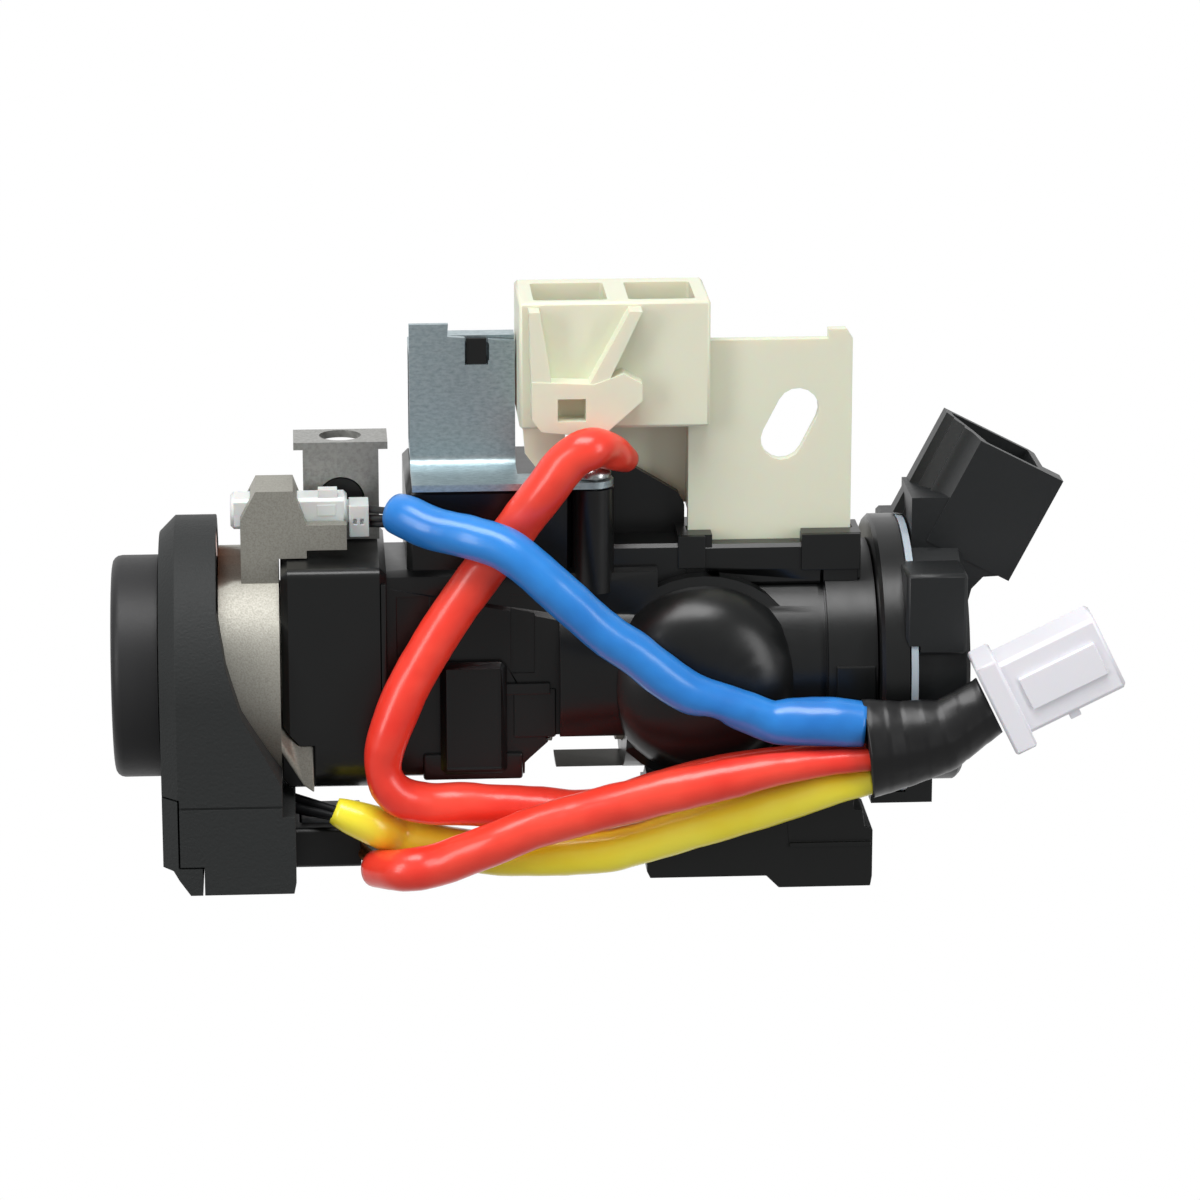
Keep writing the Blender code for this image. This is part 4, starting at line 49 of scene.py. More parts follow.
# Camera: it looks at the middle of the photograph's frame from 0.85 m, a little from above
# and a few degrees from the left, with a long lens.
AIM = Vector((-0.0170, -0.0420, 0.0104))
CAMERA_RIGHT = Vector((0.9980, -0.0637, 0.0))
CAMERA_BACK = Vector((-0.0612, -0.9593, 0.2756))
CAMERA_DISTANCE = 0.850
FRAME_WIDTH = 0.210

lens = bpy.data.cameras.new("camera")
lens.sensor_width = 36.0
lens.lens = lens.sensor_width * CAMERA_DISTANCE / FRAME_WIDTH
lens.clip_start = 0.05
lens.clip_end = 20.0
camera = bpy.data.objects.new("camera", lens)
bpy.context.scene.collection.objects.link(camera)
back = CAMERA_BACK.normalized()
right = (CAMERA_RIGHT - back * CAMERA_RIGHT.dot(back)).normalized()
camera.matrix_world = Matrix.Translation(AIM + back * CAMERA_DISTANCE) @ Matrix(
    (right, back.cross(right), back)
).transposed().to_4x4()
bpy.context.scene.camera = camera


# Sleeves of the harness: four soft PVC tubes, extruded in bright colours and pushed over thin
# wires. They kink where they turn sharply, and their cut ends are open.
KEY_TO_COLUMN = 0.042
SLEEVE_RADIUS = 0.0037
SLEEVE_WALL = 0.0005
SLEEVE_MOUTH = 0.0050
SLEEVE_SIDES = 28
RING_STEP = 0.0008
STEPS_BETWEEN = 24
WRINKLE_LENGTH = 0.0058
WRINKLE_DEPTH = 0.045
FINE_WRINKLE_DEPTH = 0.018
FINE_WRINKLE_RATE = 2.7


def linear(code):
    """Turn a hex colour as seen on a screen into Blender's linear colour."""
    parts = [int(code[i : i + 2], 16) / 255 for i in (1, 3, 5)]
    return (*[p / 12.92 if p <= 0.04045 else ((p + 0.055) / 1.055) ** 2.4 for p in parts], 1.0)


def add(tree, kind, sockets=(), **settings):
    """Add a shader node with its settings, its values and its links."""
    made = tree.nodes.new(kind)
    for name, value in settings.items():
        setattr(made, name, value)
    for name, value in dict(sockets).items():
        if isinstance(value, bpy.types.NodeSocket):
            tree.links.new(value, made.inputs[name])
        else:
            made.inputs[name].default_value = value
    return made


def new_material(name, colour, roughness, **values):
    """Start a material with its shader's plain values, and give its tree, shader and coordinates."""
    material = bpy.data.materials.new(name)
    material.use_nodes = True
    tree = material.node_tree
    shader = tree.nodes["Principled BSDF"]
    shader.inputs["Base Color"].default_value = linear(colour)
    shader.inputs["Roughness"].default_value = roughness
    for socket, value in values.items():
        shader.inputs[socket.replace("_", " ")].default_value = value
    material.diffuse_color = linear(colour)
    place = add(tree, "ShaderNodeTexCoord").outputs["Object"]
    return material, tree, shader, place


def soft_vinyl(name, colour, deep):
    """Make plasticised PVC: glossy, a little see-through, with faint streaks from the extruder."""
    material, tree, shader, place = new_material(
        name,
        colour,
        0.30,
        Subsurface_Weight=0.12,
        Subsurface_Scale=0.002,
        Coat_Weight=0.25,
        Coat_Roughness=0.18,
    )
    shader.inputs["Subsurface Radius"].default_value = (1.0, 0.6, 0.5)
    cloud = add(tree, "ShaderNodeTexNoise", {"Vector": place, "Scale": 1 / 0.012, "Detail": 3.0})
    tint = add(tree, "ShaderNodeValToRGB", {"Fac": cloud.outputs["Fac"]})
    tint.color_ramp.elements[0].color = linear(deep)
    tint.color_ramp.elements[0].position = 0.30
    tint.color_ramp.elements[1].color = linear(colour)
    tint.color_ramp.elements[1].position = 0.62
    tree.links.new(tint.outputs["Color"], shader.inputs["Base Color"])
    ripple = add(tree, "ShaderNodeTexNoise", {"Vector": place, "Scale": 1 / 0.0022, "Detail": 2.0})
    bump = add(
        tree, "ShaderNodeBump", {"Height": ripple.outputs["Fac"], "Strength": 0.18, "Distance": 0.0002}
    )
    tree.links.new(bump.outputs["Normal"], shader.inputs["Normal"])
    return material


def smooth_route(route, spacing):
    """Read evenly spaced points and shares of the radius from a smooth curve through a route."""
    places = [Vector(point[:3]) - Vector((0.0, KEY_TO_COLUMN, 0.0)) for point in route]
    shares = [point[3] for point in route]
    fine = []
    last = len(places) - 1
    for i in range(last):
        before = places[max(i - 1, 0)]
        after = places[min(i + 2, last)]
        for step in range(STEPS_BETWEEN):
            t = step / STEPS_BETWEEN
            leave = (places[i + 1] - before) / 2
            reach = (after - places[i]) / 2
            spot = (
                places[i] * (2 * t**3 - 3 * t**2 + 1)
                + leave * (t**3 - 2 * t**2 + t)
                + places[i + 1] * (3 * t**2 - 2 * t**3)
                + reach * (t**3 - t**2)
            )
            fine.append((spot, shares[i] + (shares[i + 1] - shares[i]) * t))
    fine.append((places[-1], shares[-1]))
    length = sum((b[0] - a[0]).length for a, b in zip(fine, fine[1:]))
    count = round(length / spacing)
    picked = [fine[0]]
    walked = 0.0
    for a, b in zip(fine, fine[1:]):
        walked += (b[0] - a[0]).length
        if walked >= len(picked) * length / count - 1e-9 and len(picked) < count:
            picked.append(b)
    picked.append(fine[-1])
    return picked, length


def make_sleeve(name, node, route, material, kinks, seed):
    """Make a soft sleeve along its route, with open ends, soft wrinkles and kinks.

    A kink is its place along the sleeve, its depth as a share, its reach, and its side in degrees.
    """
    points, length = smooth_route(route, RING_STEP)
    rings = []
    side = Vector((0.0, -1.0, 0.0))
    for i, (spot, share) in enumerate(points):
        run = (points[min(i + 1, len(points) - 1)][0] - points[max(i - 1, 0)][0]).normalized()
        side = (side - run * side.dot(run)).normalized()
        rings.append((spot, run, side, run.cross(side), SLEEVE_RADIUS * share))

    def ring(index, shrink, shift):
        spot, run, side, up, radius = rings[index]
        made = []
        for k in range(SLEEVE_SIDES):
            angle = 2 * math.pi * k / SLEEVE_SIDES
            out = side * math.cos(angle) + up * math.sin(angle)
            along = index * RING_STEP
            sample = (spot + out * radius) / WRINKLE_LENGTH + Vector((seed, 0.0, 0.0))
            wide = 1.0 + WRINKLE_DEPTH * noise.noise(sample)
            wide += FINE_WRINKLE_DEPTH * noise.noise(sample * FINE_WRINKLE_RATE)
            for at, depth, reach, facing in kinks:
                fall = math.exp(-(((along - at) / reach) ** 2))
                wide -= depth * fall * max(0.0, math.cos(angle - math.radians(facing))) ** 2
            made.append(spot + run * shift + out * (radius * wide - shrink))
        return made

    deep = round(SLEEVE_MOUTH / RING_STEP)
    last = len(rings) - 1
    loops = [ring(i, SLEEVE_WALL, 0.0) for i in range(deep, -1, -1)]
    loops += [ring(i, 0.0, 0.0) for i in range(last + 1)]
    loops += [ring(i, SLEEVE_WALL, 0.0) for i in range(last, last - deep - 1, -1)]
    shape = bmesh.new()
    rows = [[shape.verts.new(point) for point in loop] for loop in loops]
    for first, second in zip(rows, rows[1:]):
        for k in range(SLEEVE_SIDES):
            after = (k + 1) % SLEEVE_SIDES
            shape.faces.new((first[k], second[k], second[after], first[after]))
    shape.faces.new(rows[0])
    shape.faces.new(rows[-1])
    bmesh.ops.recalc_face_normals(shape, faces=shape.faces[:])
    mesh = bpy.data.meshes.new(name)
    shape.to_mesh(mesh)
    shape.free()
    sleeve = bpy.data.objects.new(name, mesh)
    bpy.context.scene.collection.objects.link(sleeve)
    mesh.materials.append(material)
    mesh.shade_smooth()
    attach(sleeve, "frame")
    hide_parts(node)
    return sleeve, [point[0] for point in points], length


# Soft PVC, extruded: one bright, even colour with a wet-looking sheen that each wrinkle breaks.
# The ripple of its skin is drawn coarser than the real one, so that it shows.
blue_vinyl = soft_vinyl("blue_soft_vinyl", "#2A86D9", "#1F74C6")
red_vinyl = soft_vinyl("red_soft_vinyl", "#FB4A37", "#EE3526")
yellow_vinyl = soft_vinyl("yellow_soft_vinyl", "#FFF04A", "#FBE62C")

# Each route's rows are a place on the sleeve's middle line and the share of its radius there,
# read from the key axis. The sleeves thin where the tape pulls them together.
BLUE_ROUTE = (
    (-0.0526, -0.0160, 0.0309, 0.96),
    (-0.0504, -0.0182, 0.0306, 1.0),
    (-0.0465, -0.0209, 0.0294, 1.0),
    (-0.0405, -0.0235, 0.0286, 1.0),
    (-0.0351, -0.0260, 0.0273, 1.0),
    (-0.0301, -0.0275, 0.0239, 1.0),
    (-0.0244, -0.0285, 0.0187, 1.0),
    (-0.0178, -0.0290, 0.0127, 1.0),
    (-0.0134, -0.0290, 0.0096, 1.0),
    (-0.0088, -0.0290, 0.0058, 1.0),
    (-0.0052, -0.0290, 0.0030, 1.0),
    (-0.0016, -0.0290, 0.0011, 1.0),
    (0.0055, -0.0292, -0.0014, 1.0),
    (0.0102, -0.0294, -0.0033, 1.0),
    (0.0145, -0.0296, -0.0033, 1.12),
    (0.0205, -0.0302, -0.0032, 1.16),
    (0.0262, -0.0306, -0.0036, 1.05),
)
UPPER_RED_ROUTE = (
    (-0.0132, -0.0113, 0.0386, 0.60),
    (-0.0160, -0.0172, 0.0413, 0.85),
    (-0.0196, -0.0215, 0.0431, 1.0),
    (-0.0234, -0.0214, 0.0413, 1.0),
    (-0.0276, -0.0208, 0.0359, 1.0),
    (-0.0327, -0.0184, 0.0284, 1.0),
    (-0.0387, -0.0195, 0.0208, 1.0),
    (-0.0439, -0.0205, 0.0137, 1.0),
    (-0.0486, -0.0215, 0.0065, 1.0),
    (-0.0523, -0.0225, -0.0003, 1.0),
    (-0.0551, -0.0230, -0.0081, 0.95),
    (-0.0555, -0.0230, -0.0135, 0.85),
    (-0.0533, -0.0220, -0.0175, 0.95),
    (-0.0485, -0.0210, -0.0194, 1.0),
    (-0.0425, -0.0205, -0.0198, 1.0),
    (-0.0356, -0.0200, -0.0205, 1.0),
    (-0.0287, -0.0200, -0.0210, 1.0),
    (-0.0218, -0.0210, -0.0212, 0.95),
    (-0.0150, -0.0230, -0.0189, 0.80),
    (-0.0082, -0.0243, -0.0159, 0.70),
    (0.0020, -0.0252, -0.0127, 0.60),
    (0.0124, -0.0256, -0.0110, 0.55),
    (0.0211, -0.0260, -0.0102, 0.50),
    (0.0275, -0.0265, -0.0103, 0.50),
)
LOWER_RED_ROUTE = (
    (-0.0572, -0.0190, -0.0318, 0.85),
    (-0.0525, -0.0248, -0.0302, 1.0),
    (-0.0473, -0.0262, -0.0290, 1.0),
    (-0.0419, -0.0278, -0.0266, 1.0),
    (-0.0360, -0.0290, -0.0240, 1.0),
    (-0.0307, -0.0290, -0.0218, 1.0),
    (-0.0225, -0.0300, -0.0191, 1.0),
    (-0.0122, -0.0318, -0.0158, 1.0),
    (-0.0034, -0.0326, -0.0136, 1.0),
    (0.0048, -0.0328, -0.0118, 0.90),
    (0.0124, -0.0324, -0.0106, 0.75),
    (0.0205, -0.0320, -0.0099, 0.60),
    (0.0274, -0.0316, -0.0097, 0.52),
)
YELLOW_ROUTE = (
    (-0.0641, -0.0190, -0.0210, 0.62),
    (-0.0615, -0.0192, -0.0221, 0.80),
    (-0.0575, -0.0190, -0.0239, 0.95),
    (-0.0530, -0.0160, -0.0267, 1.0),
    (-0.0478, -0.0162, -0.0284, 1.0),
    (-0.0408, -0.0180, -0.0292, 1.0),
    (-0.0356, -0.0195, -0.0296, 1.0),
    (-0.0303, -0.0210, -0.0292, 1.0),
    (-0.0243, -0.0222, -0.0288, 1.0),
    (-0.0171, -0.0234, -0.0279, 1.0),
    (-0.0117, -0.0242, -0.0264, 1.0),
    (-0.0088, -0.0246, -0.0254, 1.0),
    (0.0012, -0.0256, -0.0222, 1.0),
    (0.0129, -0.0270, -0.0184, 0.95),
    (0.0205, -0.0286, -0.0157, 0.82),
    (0.0281, -0.0298, -0.0140, 0.60),
)
blue_sleeve, blue_path, blue_length = make_sleeve(
    "blue_sleeve_soft",
    "blue_sleeve",
    BLUE_ROUTE,
    blue_vinyl,
    [(0.066, 0.34, 0.0028, 70), (0.073, 0.22, 0.004, 20)],
    3.0,
)
upper_red, upper_path, upper_length = make_sleeve(
    "upper_red_sleeve_soft",
    "upper_red_sleeve",
    UPPER_RED_ROUTE,
    red_vinyl,
    [(0.009, 0.30, 0.003, 0), (0.081, 0.25, 0.003, 10)],
    11.0,
)
lower_red, lower_path, lower_length = make_sleeve(
    "lower_red_sleeve_soft", "lower_red_sleeve", LOWER_RED_ROUTE, red_vinyl, [], 23.0
)
yellow_sleeve, yellow_path, yellow_length = make_sleeve(
    "yellow_sleeve_soft", "yellow_sleeve", YELLOW_ROUTE, yellow_vinyl, [], 37.0
)


# Taped trunk: black PVC tape wound over the wires where the sleeves end, pulled tight and a
# little wrinkled. Each turn laps the one before, and the trunk narrows towards the plug.
MM = 0.001
TAPE_TURNS = 6.5
TAPE_LAP = 0.12
TAPE_SIDES = 72
TAPE_RINGS = 60
TAPE_CREASE = 0.00020
CREASE_LENGTH = 0.0052
TAPE_GRAIN = 0.00004
GRAIN_LENGTH = 0.0016
TAPE_PULL = 0.00035


def plain_plastic(name, colour, roughness, grain, depth, **values):
    """Make a moulded plastic: one colour, with a fine mottled surface of the given grain."""
    material, tree, shader, place = new_material(name, colour, roughness, **values)
    spots = add(tree, "ShaderNodeTexNoise", {"Vector": place, "Scale": 1 / grain, "Detail": 2.0})
    bump = add(tree, "ShaderNodeBump", {"Height": spots.outputs["Fac"], "Strength": 0.5, "Distance": depth})
    tree.links.new(bump.outputs["Normal"], shader.inputs["Normal"])
    wear = add(
        tree,
        "ShaderNodeMapRange",
        {"Value": spots.outputs["Fac"], "To Min": roughness - 0.04, "To Max": roughness + 0.05},
    )
    tree.links.new(wear.outputs["Result"], shader.inputs["Roughness"])
    return material


def settle(piece, name, material, body="frame", nodes=()):
    """Name a finished piece, give it its material, and put it on its body in place of its CAD nodes."""
    piece.name = name
    piece.data.name = name
    piece.data.materials.clear()
    piece.data.materials.append(material)
    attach(piece, body)
    if nodes:
        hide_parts(*nodes)
    return piece


def tape_place(share):
    """Give the middle, the run and the two half sizes of the trunk at a share of its length."""
    stations = (
        (Vector((0.0268, -0.0304, -0.0081)), Vector((1.0, 0.0, 0.12)), 0.0064, 0.0088),
        (Vector((0.0335, -0.0304, -0.0072)), Vector((1.0, 0.0, 0.20)), 0.0057, 0.0076),
        (Vector((0.0405, -0.0303, -0.0057)), Vector((1.0, 0.0, 0.30)), 0.0052, 0.0064),
        (Vector((0.0477, -0.0298, -0.0009)), Vector((0.9, 0.0, 0.44)), 0.0044, 0.0054),
    )
    spot = share * (len(stations) - 1)
    first = min(int(spot), len(stations) - 2)
    rest = spot - first
    a, b = stations[first], stations[first + 1]
    sizes = [a[i] + (b[i] - a[i]) * rest for i in (2, 3)]
    return a[0].lerp(b[0], rest), a[1].lerp(b[1], rest), *sizes


shape = bmesh.new()
rows = []
for step in range(TAPE_RINGS + 1):
    middle, run, half_y, half_z = tape_place(step / TAPE_RINGS)
    run.normalize()
    up = Vector((0.0, 0.0, 1.0))
    up = (up - run * up.dot(run)).normalized()
    row = []
    for k in range(TAPE_SIDES):
        angle = 2 * math.pi * k / TAPE_SIDES
        out = Vector((0.0, -1.0, 0.0)) * math.cos(angle) * half_y + up * math.sin(angle) * half_z
        turn = (step / TAPE_RINGS * TAPE_TURNS - k / TAPE_SIDES) % 1.0
        lap = TAPE_LAP * MM * min(1.0, turn * 9.0) * (1.0 - turn * 0.8)
        crease = TAPE_CREASE * noise.noise((middle + out) / CREASE_LENGTH)
        crease += TAPE_GRAIN * noise.noise((middle + out) / GRAIN_LENGTH)
        square = 1.0 - 0.10 * abs(math.sin(2 * angle)) + 0.05
        spot = middle + out * square + out.normalized() * (lap + crease - TAPE_PULL)
        row.append(shape.verts.new(spot - Vector((0.0, KEY_TO_COLUMN, 0.0))))
    rows.append(row)
for first, second in zip(rows, rows[1:]):
    for k in range(TAPE_SIDES):
        after = (k + 1) % TAPE_SIDES
        shape.faces.new((first[k], second[k], second[after], first[after]))
shape.faces.new(rows[0])
shape.faces.new(rows[-1])
bmesh.ops.recalc_face_normals(shape, faces=shape.faces[:])
mesh = bpy.data.meshes.new("tape")
shape.to_mesh(mesh)
shape.free()
tape = bpy.data.objects.new("tape", mesh)
bpy.context.scene.collection.objects.link(tape)
mesh.shade_smooth()
# PVC tape: near black, with a dull sheen that runs along each lap.
vinyl_tape = plain_plastic("wound_vinyl_tape", "#121213", 0.33, 0.0030, 0.00002, Specular_IOR_Level=0.45)
settle(tape, "tape_wrap_wound", vinyl_tape, nodes=["tape_wrap"])


# Harness plug: a white nylon plug at the end of the trunk, moulded in one piece with a collar,
# a latch rib and an open mouth for its mate.
SAME_POINT = 0.000004
SAME_CORNER = 0.00001
FLAT_ANGLE = math.radians(0.6)
EDGE_STEPS = 2
EDGE_ANGLE = math.radians(42.0)


def at(x, y, z):
    """Turn millimetres from where the key axis meets the bolt's axis into the frame's metres."""
    return Vector((x * MM, y * MM - KEY_TO_COLUMN, z * MM))


def alone(piece):
    """Select one piece alone, ready for an operator."""
    bpy.ops.object.select_all(action="DESELECT")
    piece.select_set(True)
    bpy.context.view_layer.objects.active = piece


def start_from(node):
    """Start a visible piece as a copy of a CAD node, with its doubled points merged."""
    piece = bpy.data.objects.new(node + "_finish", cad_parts[node].data.copy())
    bpy.context.scene.collection.objects.link(piece)
    alone(piece)
    bpy.ops.mesh.customdata_custom_splitnormals_clear()
    bpy.ops.object.mode_set(mode="EDIT")
    bpy.ops.mesh.select_all(action="SELECT")
    bpy.ops.mesh.remove_doubles(threshold=SAME_POINT)
    bpy.ops.mesh.dissolve_limited(angle_limit=FLAT_ANGLE)
    bpy.ops.object.mode_set(mode="OBJECT")
    return piece


def block(low, high, edge=0.0):
    """Add a block between two corners in millimetres, and bevel its edges."""
    low, high = at(*low), at(*high)
    bpy.ops.object.select_all(action="DESELECT")
    bpy.ops.mesh.primitive_cube_add(size=1.0, location=(low + high) / 2, scale=high - low)
    bpy.ops.object.transform_apply(location=True, rotation=True, scale=True)
    if edge:
        bpy.ops.object.mode_set(mode="EDIT")
        bpy.ops.mesh.select_all(action="SELECT")
        bpy.ops.mesh.bevel(offset=edge * MM, segments=EDGE_STEPS, affect="EDGES")
        bpy.ops.object.mode_set(mode="OBJECT")
    return bpy.context.active_object


def pole(start, end, radius, tip=None, sides=48):
    """Add a round bar, or a cone, between two places in millimetres."""
    start, end = at(*start), at(*end)
    run = end - start
    bpy.ops.object.select_all(action="DESELECT")
    bpy.ops.mesh.primitive_cone_add(
        vertices=sides,
        radius1=radius * MM,
        radius2=(radius if tip is None else tip) * MM,
        depth=run.length,
        location=(start + end) / 2,
        rotation=Vector((0, 0, 1)).rotation_difference(run).to_euler(),
    )
    bpy.ops.object.transform_apply(location=True, rotation=True, scale=True)
    return bpy.context.active_object


def combine(piece, others, operation):
    """Weld other shapes to a piece or carve them out of it, and remove them."""
    for other in others:
        alone(piece)
        step = piece.modifiers.new("step", "BOOLEAN")
        step.operation = operation
        step.solver = "EXACT"
        step.object = other
        bpy.ops.object.modifier_apply(modifier=step.name)
        bpy.data.objects.remove(other, do_unlink=True)
    return piece


def slice_of(outline, near, far):
    """Add a plate with an outline in the picture's plane, between two depths in millimetres."""
    bpy.ops.object.select_all(action="DESELECT")
    bpy.ops.mesh.primitive_circle_add(vertices=len(outline), radius=1.0, fill_type="NGON")
    piece = bpy.context.active_object
    for corner, (x, z) in zip(piece.data.vertices, outline):
        corner.co = at(x, near, z)
    bpy.ops.object.transform_apply(location=True, rotation=True, scale=True)
    bpy.ops.object.mode_set(mode="EDIT")
    bpy.ops.mesh.select_all(action="SELECT")
    bpy.ops.mesh.extrude_region_move(TRANSFORM_OT_translate={"value": (0.0, (far - near) * MM, 0.0)})
    bpy.ops.mesh.select_all(action="SELECT")
    bpy.ops.mesh.normals_make_consistent(inside=False)
    bpy.ops.object.mode_set(mode="OBJECT")
    return piece


def turn_about(piece, place, angle):
    """Turn a piece in the picture's plane about a place in millimetres, by degrees."""
    alone(piece)
    bpy.ops.object.mode_set(mode="EDIT")
    bpy.ops.mesh.select_all(action="SELECT")
    bpy.ops.transform.rotate(value=math.radians(angle), orient_axis="Y", center_override=at(*place))
    bpy.ops.object.mode_set(mode="OBJECT")
    return piece


def weld(piece, *others):
    """Weld other shapes to a piece."""
    return combine(piece, others, "UNION")


def carve(piece, *others):
    """Carve other shapes out of a piece."""
    return combine(piece, others, "DIFFERENCE")


def ease(piece, width, smooth=38.0):
    """Round a piece's edges by a width in millimetres, as its mould or press leaves them."""
    alone(piece)
    bpy.ops.object.mode_set(mode="EDIT")
    bpy.ops.mesh.select_all(action="SELECT")
    bpy.ops.mesh.remove_doubles(threshold=SAME_CORNER)
    bpy.ops.mesh.dissolve_limited(angle_limit=FLAT_ANGLE)
    bpy.ops.object.mode_set(mode="OBJECT")
    if width:
        bevel = piece.modifiers.new("edges", "BEVEL")
        bevel.width = width * MM
        bevel.segments = EDGE_STEPS
        bevel.limit_method = "ANGLE"
        bevel.angle_limit = EDGE_ANGLE
        bevel.miter_outer = "MITER_ARC"
        bevel.harden_normals = False
        bpy.ops.object.modifier_apply(modifier=bevel.name)
    bpy.ops.object.shade_smooth_by_angle(angle=math.radians(smooth))
    flat = piece.modifiers.new("flat_faces", "WEIGHTED_NORMAL")
    flat.keep_sharp = True
    bpy.ops.object.modifier_apply(modifier=flat.name)
    return piece


# White nylon, moulded: cool and a little milky, so that its edges look soft.
white_nylon = plain_plastic(
    "white_nylon", "#EBEAF0", 0.38, 0.0016, 0.00004, Subsurface_Weight=0.10, Subsurface_Scale=0.002
)
plug = ease(start_from("harness_plug"), 0.18)
settle(plug, "harness_plug_moulded", white_nylon, nodes=["harness_plug"])


# Key bezel: a round cap of matt black ABS that is clipped over the lock's nose, with a
# smooth rounded rim. It is the first thing that the driver's key meets.
# ABS with a satin skin: an even dark tone with wide, soft highlights.
bezel_plastic = plain_plastic("satin_abs", "#232324", 0.50, 0.0006, 0.00002, Specular_IOR_Level=0.40)
bezel = ease(start_from("key_bezel"), 0.0, smooth=32.0)
settle(bezel, "key_bezel_moulded", bezel_plastic, nodes=["key_bezel"])


# Antenna housing and its cover: glass-filled nylon from a spark-eroded mould, so it is evenly
# grained and dull. The ring holds the immobiliser's coil, and the box below it the board.
SEAM_TOP = -17.8
SEAM_FOOT = -18.15
SEAM_DEEP = -25.8

# Glass-filled nylon with an eroded grain: dull, with no clear highlight. The grain is drawn
# a little coarser than the real one, so that it shows.
grained_nylon = plain_plastic("grained_nylon", "#262828", 0.62, 0.00045, 0.00022, Specular_IOR_Level=0.35)
seam = block((-91.5, -27.5, SEAM_FOOT), (-70.0, SEAM_DEEP, SEAM_TOP))
housing = carve(start_from("antenna_housing"), seam)
ease(housing, 0.20, smooth=32.0)
settle(housing, "antenna_housing_moulded", grained_nylon, nodes=["antenna_housing"])
cover = ease(start_from("antenna_cover"), 0.18, smooth=32.0)
settle(cover, "antenna_cover_moulded", grained_nylon, nodes=["antenna_cover"])


# Wire plug of the antenna: smooth black nylon with a grey lock strip pressed into its top.
# Nylon from a smooth mould, black and grey: soft highlights on a nearly plain surface.
smooth_nylon = plain_plastic("smooth_nylon", "#131414", 0.40, 0.0012, 0.00003, Specular_IOR_Level=0.40)
grey_nylon = plain_plastic("grey_nylon", "#7C838A", 0.48, 0.0012, 0.00003)
wire_plug = ease(start_from("antenna_plug"), 0.25)
settle(wire_plug, "antenna_plug_moulded", smooth_nylon, nodes=["antenna_plug"])
lock_strip = ease(start_from("antenna_plug_lock"), 0.12)
settle(lock_strip, "antenna_plug_lock_moulded", grey_nylon, nodes=["antenna_plug_lock"])


# Lock body: a die casting of zinc alloy, tumbled and left bare. It is grey and slightly grainy,
# with soft edges and darker hollows.
def metal(name, colour, dark, roughness, grain, depth, streak=None, metallic=1.0):
    """Make a bare metal whose tone and sheen wander, with its grain cast or brushed along streaks."""
    material, tree, shader, place = new_material(name, colour, roughness, Metallic=metallic)
    if streak:
        place = add(tree, "ShaderNodeMapping", {"Vector": place, "Scale": streak}).outputs["Vector"]
    spots = add(
        tree,
        "ShaderNodeTexNoise",
        {"Vector": place, "Scale": 1 / grain, "Detail": 4.0, "Roughness": 0.6},
    )
    tint = add(tree, "ShaderNodeValToRGB", {"Fac": spots.outputs["Fac"]})
    tint.color_ramp.elements[0].color = linear(dark)
    tint.color_ramp.elements[0].position = 0.32
    tint.color_ramp.elements[1].color = linear(colour)
    tint.color_ramp.elements[1].position = 0.60
    tree.links.new(tint.outputs["Color"], shader.inputs["Base Color"])
    sheen = add(
        tree,
        "ShaderNodeMapRange",
        {"Value": spots.outputs["Fac"], "To Min": roughness + 0.10, "To Max": roughness - 0.08},
    )
    tree.links.new(sheen.outputs["Result"], shader.inputs["Roughness"])
    bump = add(tree, "ShaderNodeBump", {"Height": spots.outputs["Fac"], "Strength": 0.6, "Distance": depth})
    tree.links.new(bump.outputs["Normal"], shader.inputs["Normal"])
    return material


FINGER = (
    (-77.4, 1.2),
    (-73.4, -6.3),
    (-70.0, -9.9),
    (-67.5, -9.9),
    (-67.5, -18.4),
    (-69.4, -17.0),
    (-72.2, -12.4),
    (-76.6, -5.1),
)
FINGER_FRONT = -17.3
FINGER_BACK = -11.0

# Zinc alloy, die cast and tumbled: mid grey and sandy, with no clear reflection.
cast_zinc = metal("die_cast_zinc", "#A9A79E", "#97958C", 0.52, 0.0003, 0.00005, metallic=0.75)
casting = start_from("lock_body")
finger = slice_of(FINGER, FINGER_FRONT, FINGER_BACK)
carve(casting, block((-25.8, -20.0, -20.0), (-14.6, 14.0, -9.7)))
weld(casting, ease(finger, 0.35))
ease(casting, 0.0)
settle(casting, "lock_body_cast", cast_zinc, nodes=["lock_body"])


# Lug bracket and its screw: a strip of mild steel, blanked, drilled and bent, with a thin dull
# zinc plating, and a plated pan head screw in its foot.
LUG_MIDDLE = -61.95
WEB_HOLE_HEIGHT = 29.0
LUG_HOLE = 3.65
WEB_HOLE = 4.1
SCREW_HOLE = 2.1

# Thin zinc plating on strip steel: pale and dull, with a faint mottle.
bent_steel = metal("plated_strip_steel", "#ABABA8", "#979793", 0.44, 0.0007, 0.00003, metallic=0.85)
lug = weld(
    block((-70.1, 1.0, 38.0), (-53.8, 10.6, 39.3)),
    block((-68.5, 1.01, 21.92), (-55.4, 2.3, 38.6)),
    block((-68.49, 1.02, 21.91), (-55.41, 13.0, 23.6)),
)
carve(
    lug,
    pole((LUG_MIDDLE, 6.2, 30.0), (LUG_MIDDLE, 6.2, 45.0), LUG_HOLE),
    pole((LUG_MIDDLE, -2.0, WEB_HOLE_HEIGHT), (LUG_MIDDLE, 4.5, WEB_HOLE_HEIGHT), WEB_HOLE),
    pole((LUG_MIDDLE, 8.5, 18.0), (LUG_MIDDLE, 8.5, 28.0), SCREW_HOLE),
)
ease(lug, 0.3)
settle(lug, "lug_bracket_bent", bent_steel, nodes=["lug_bracket"])
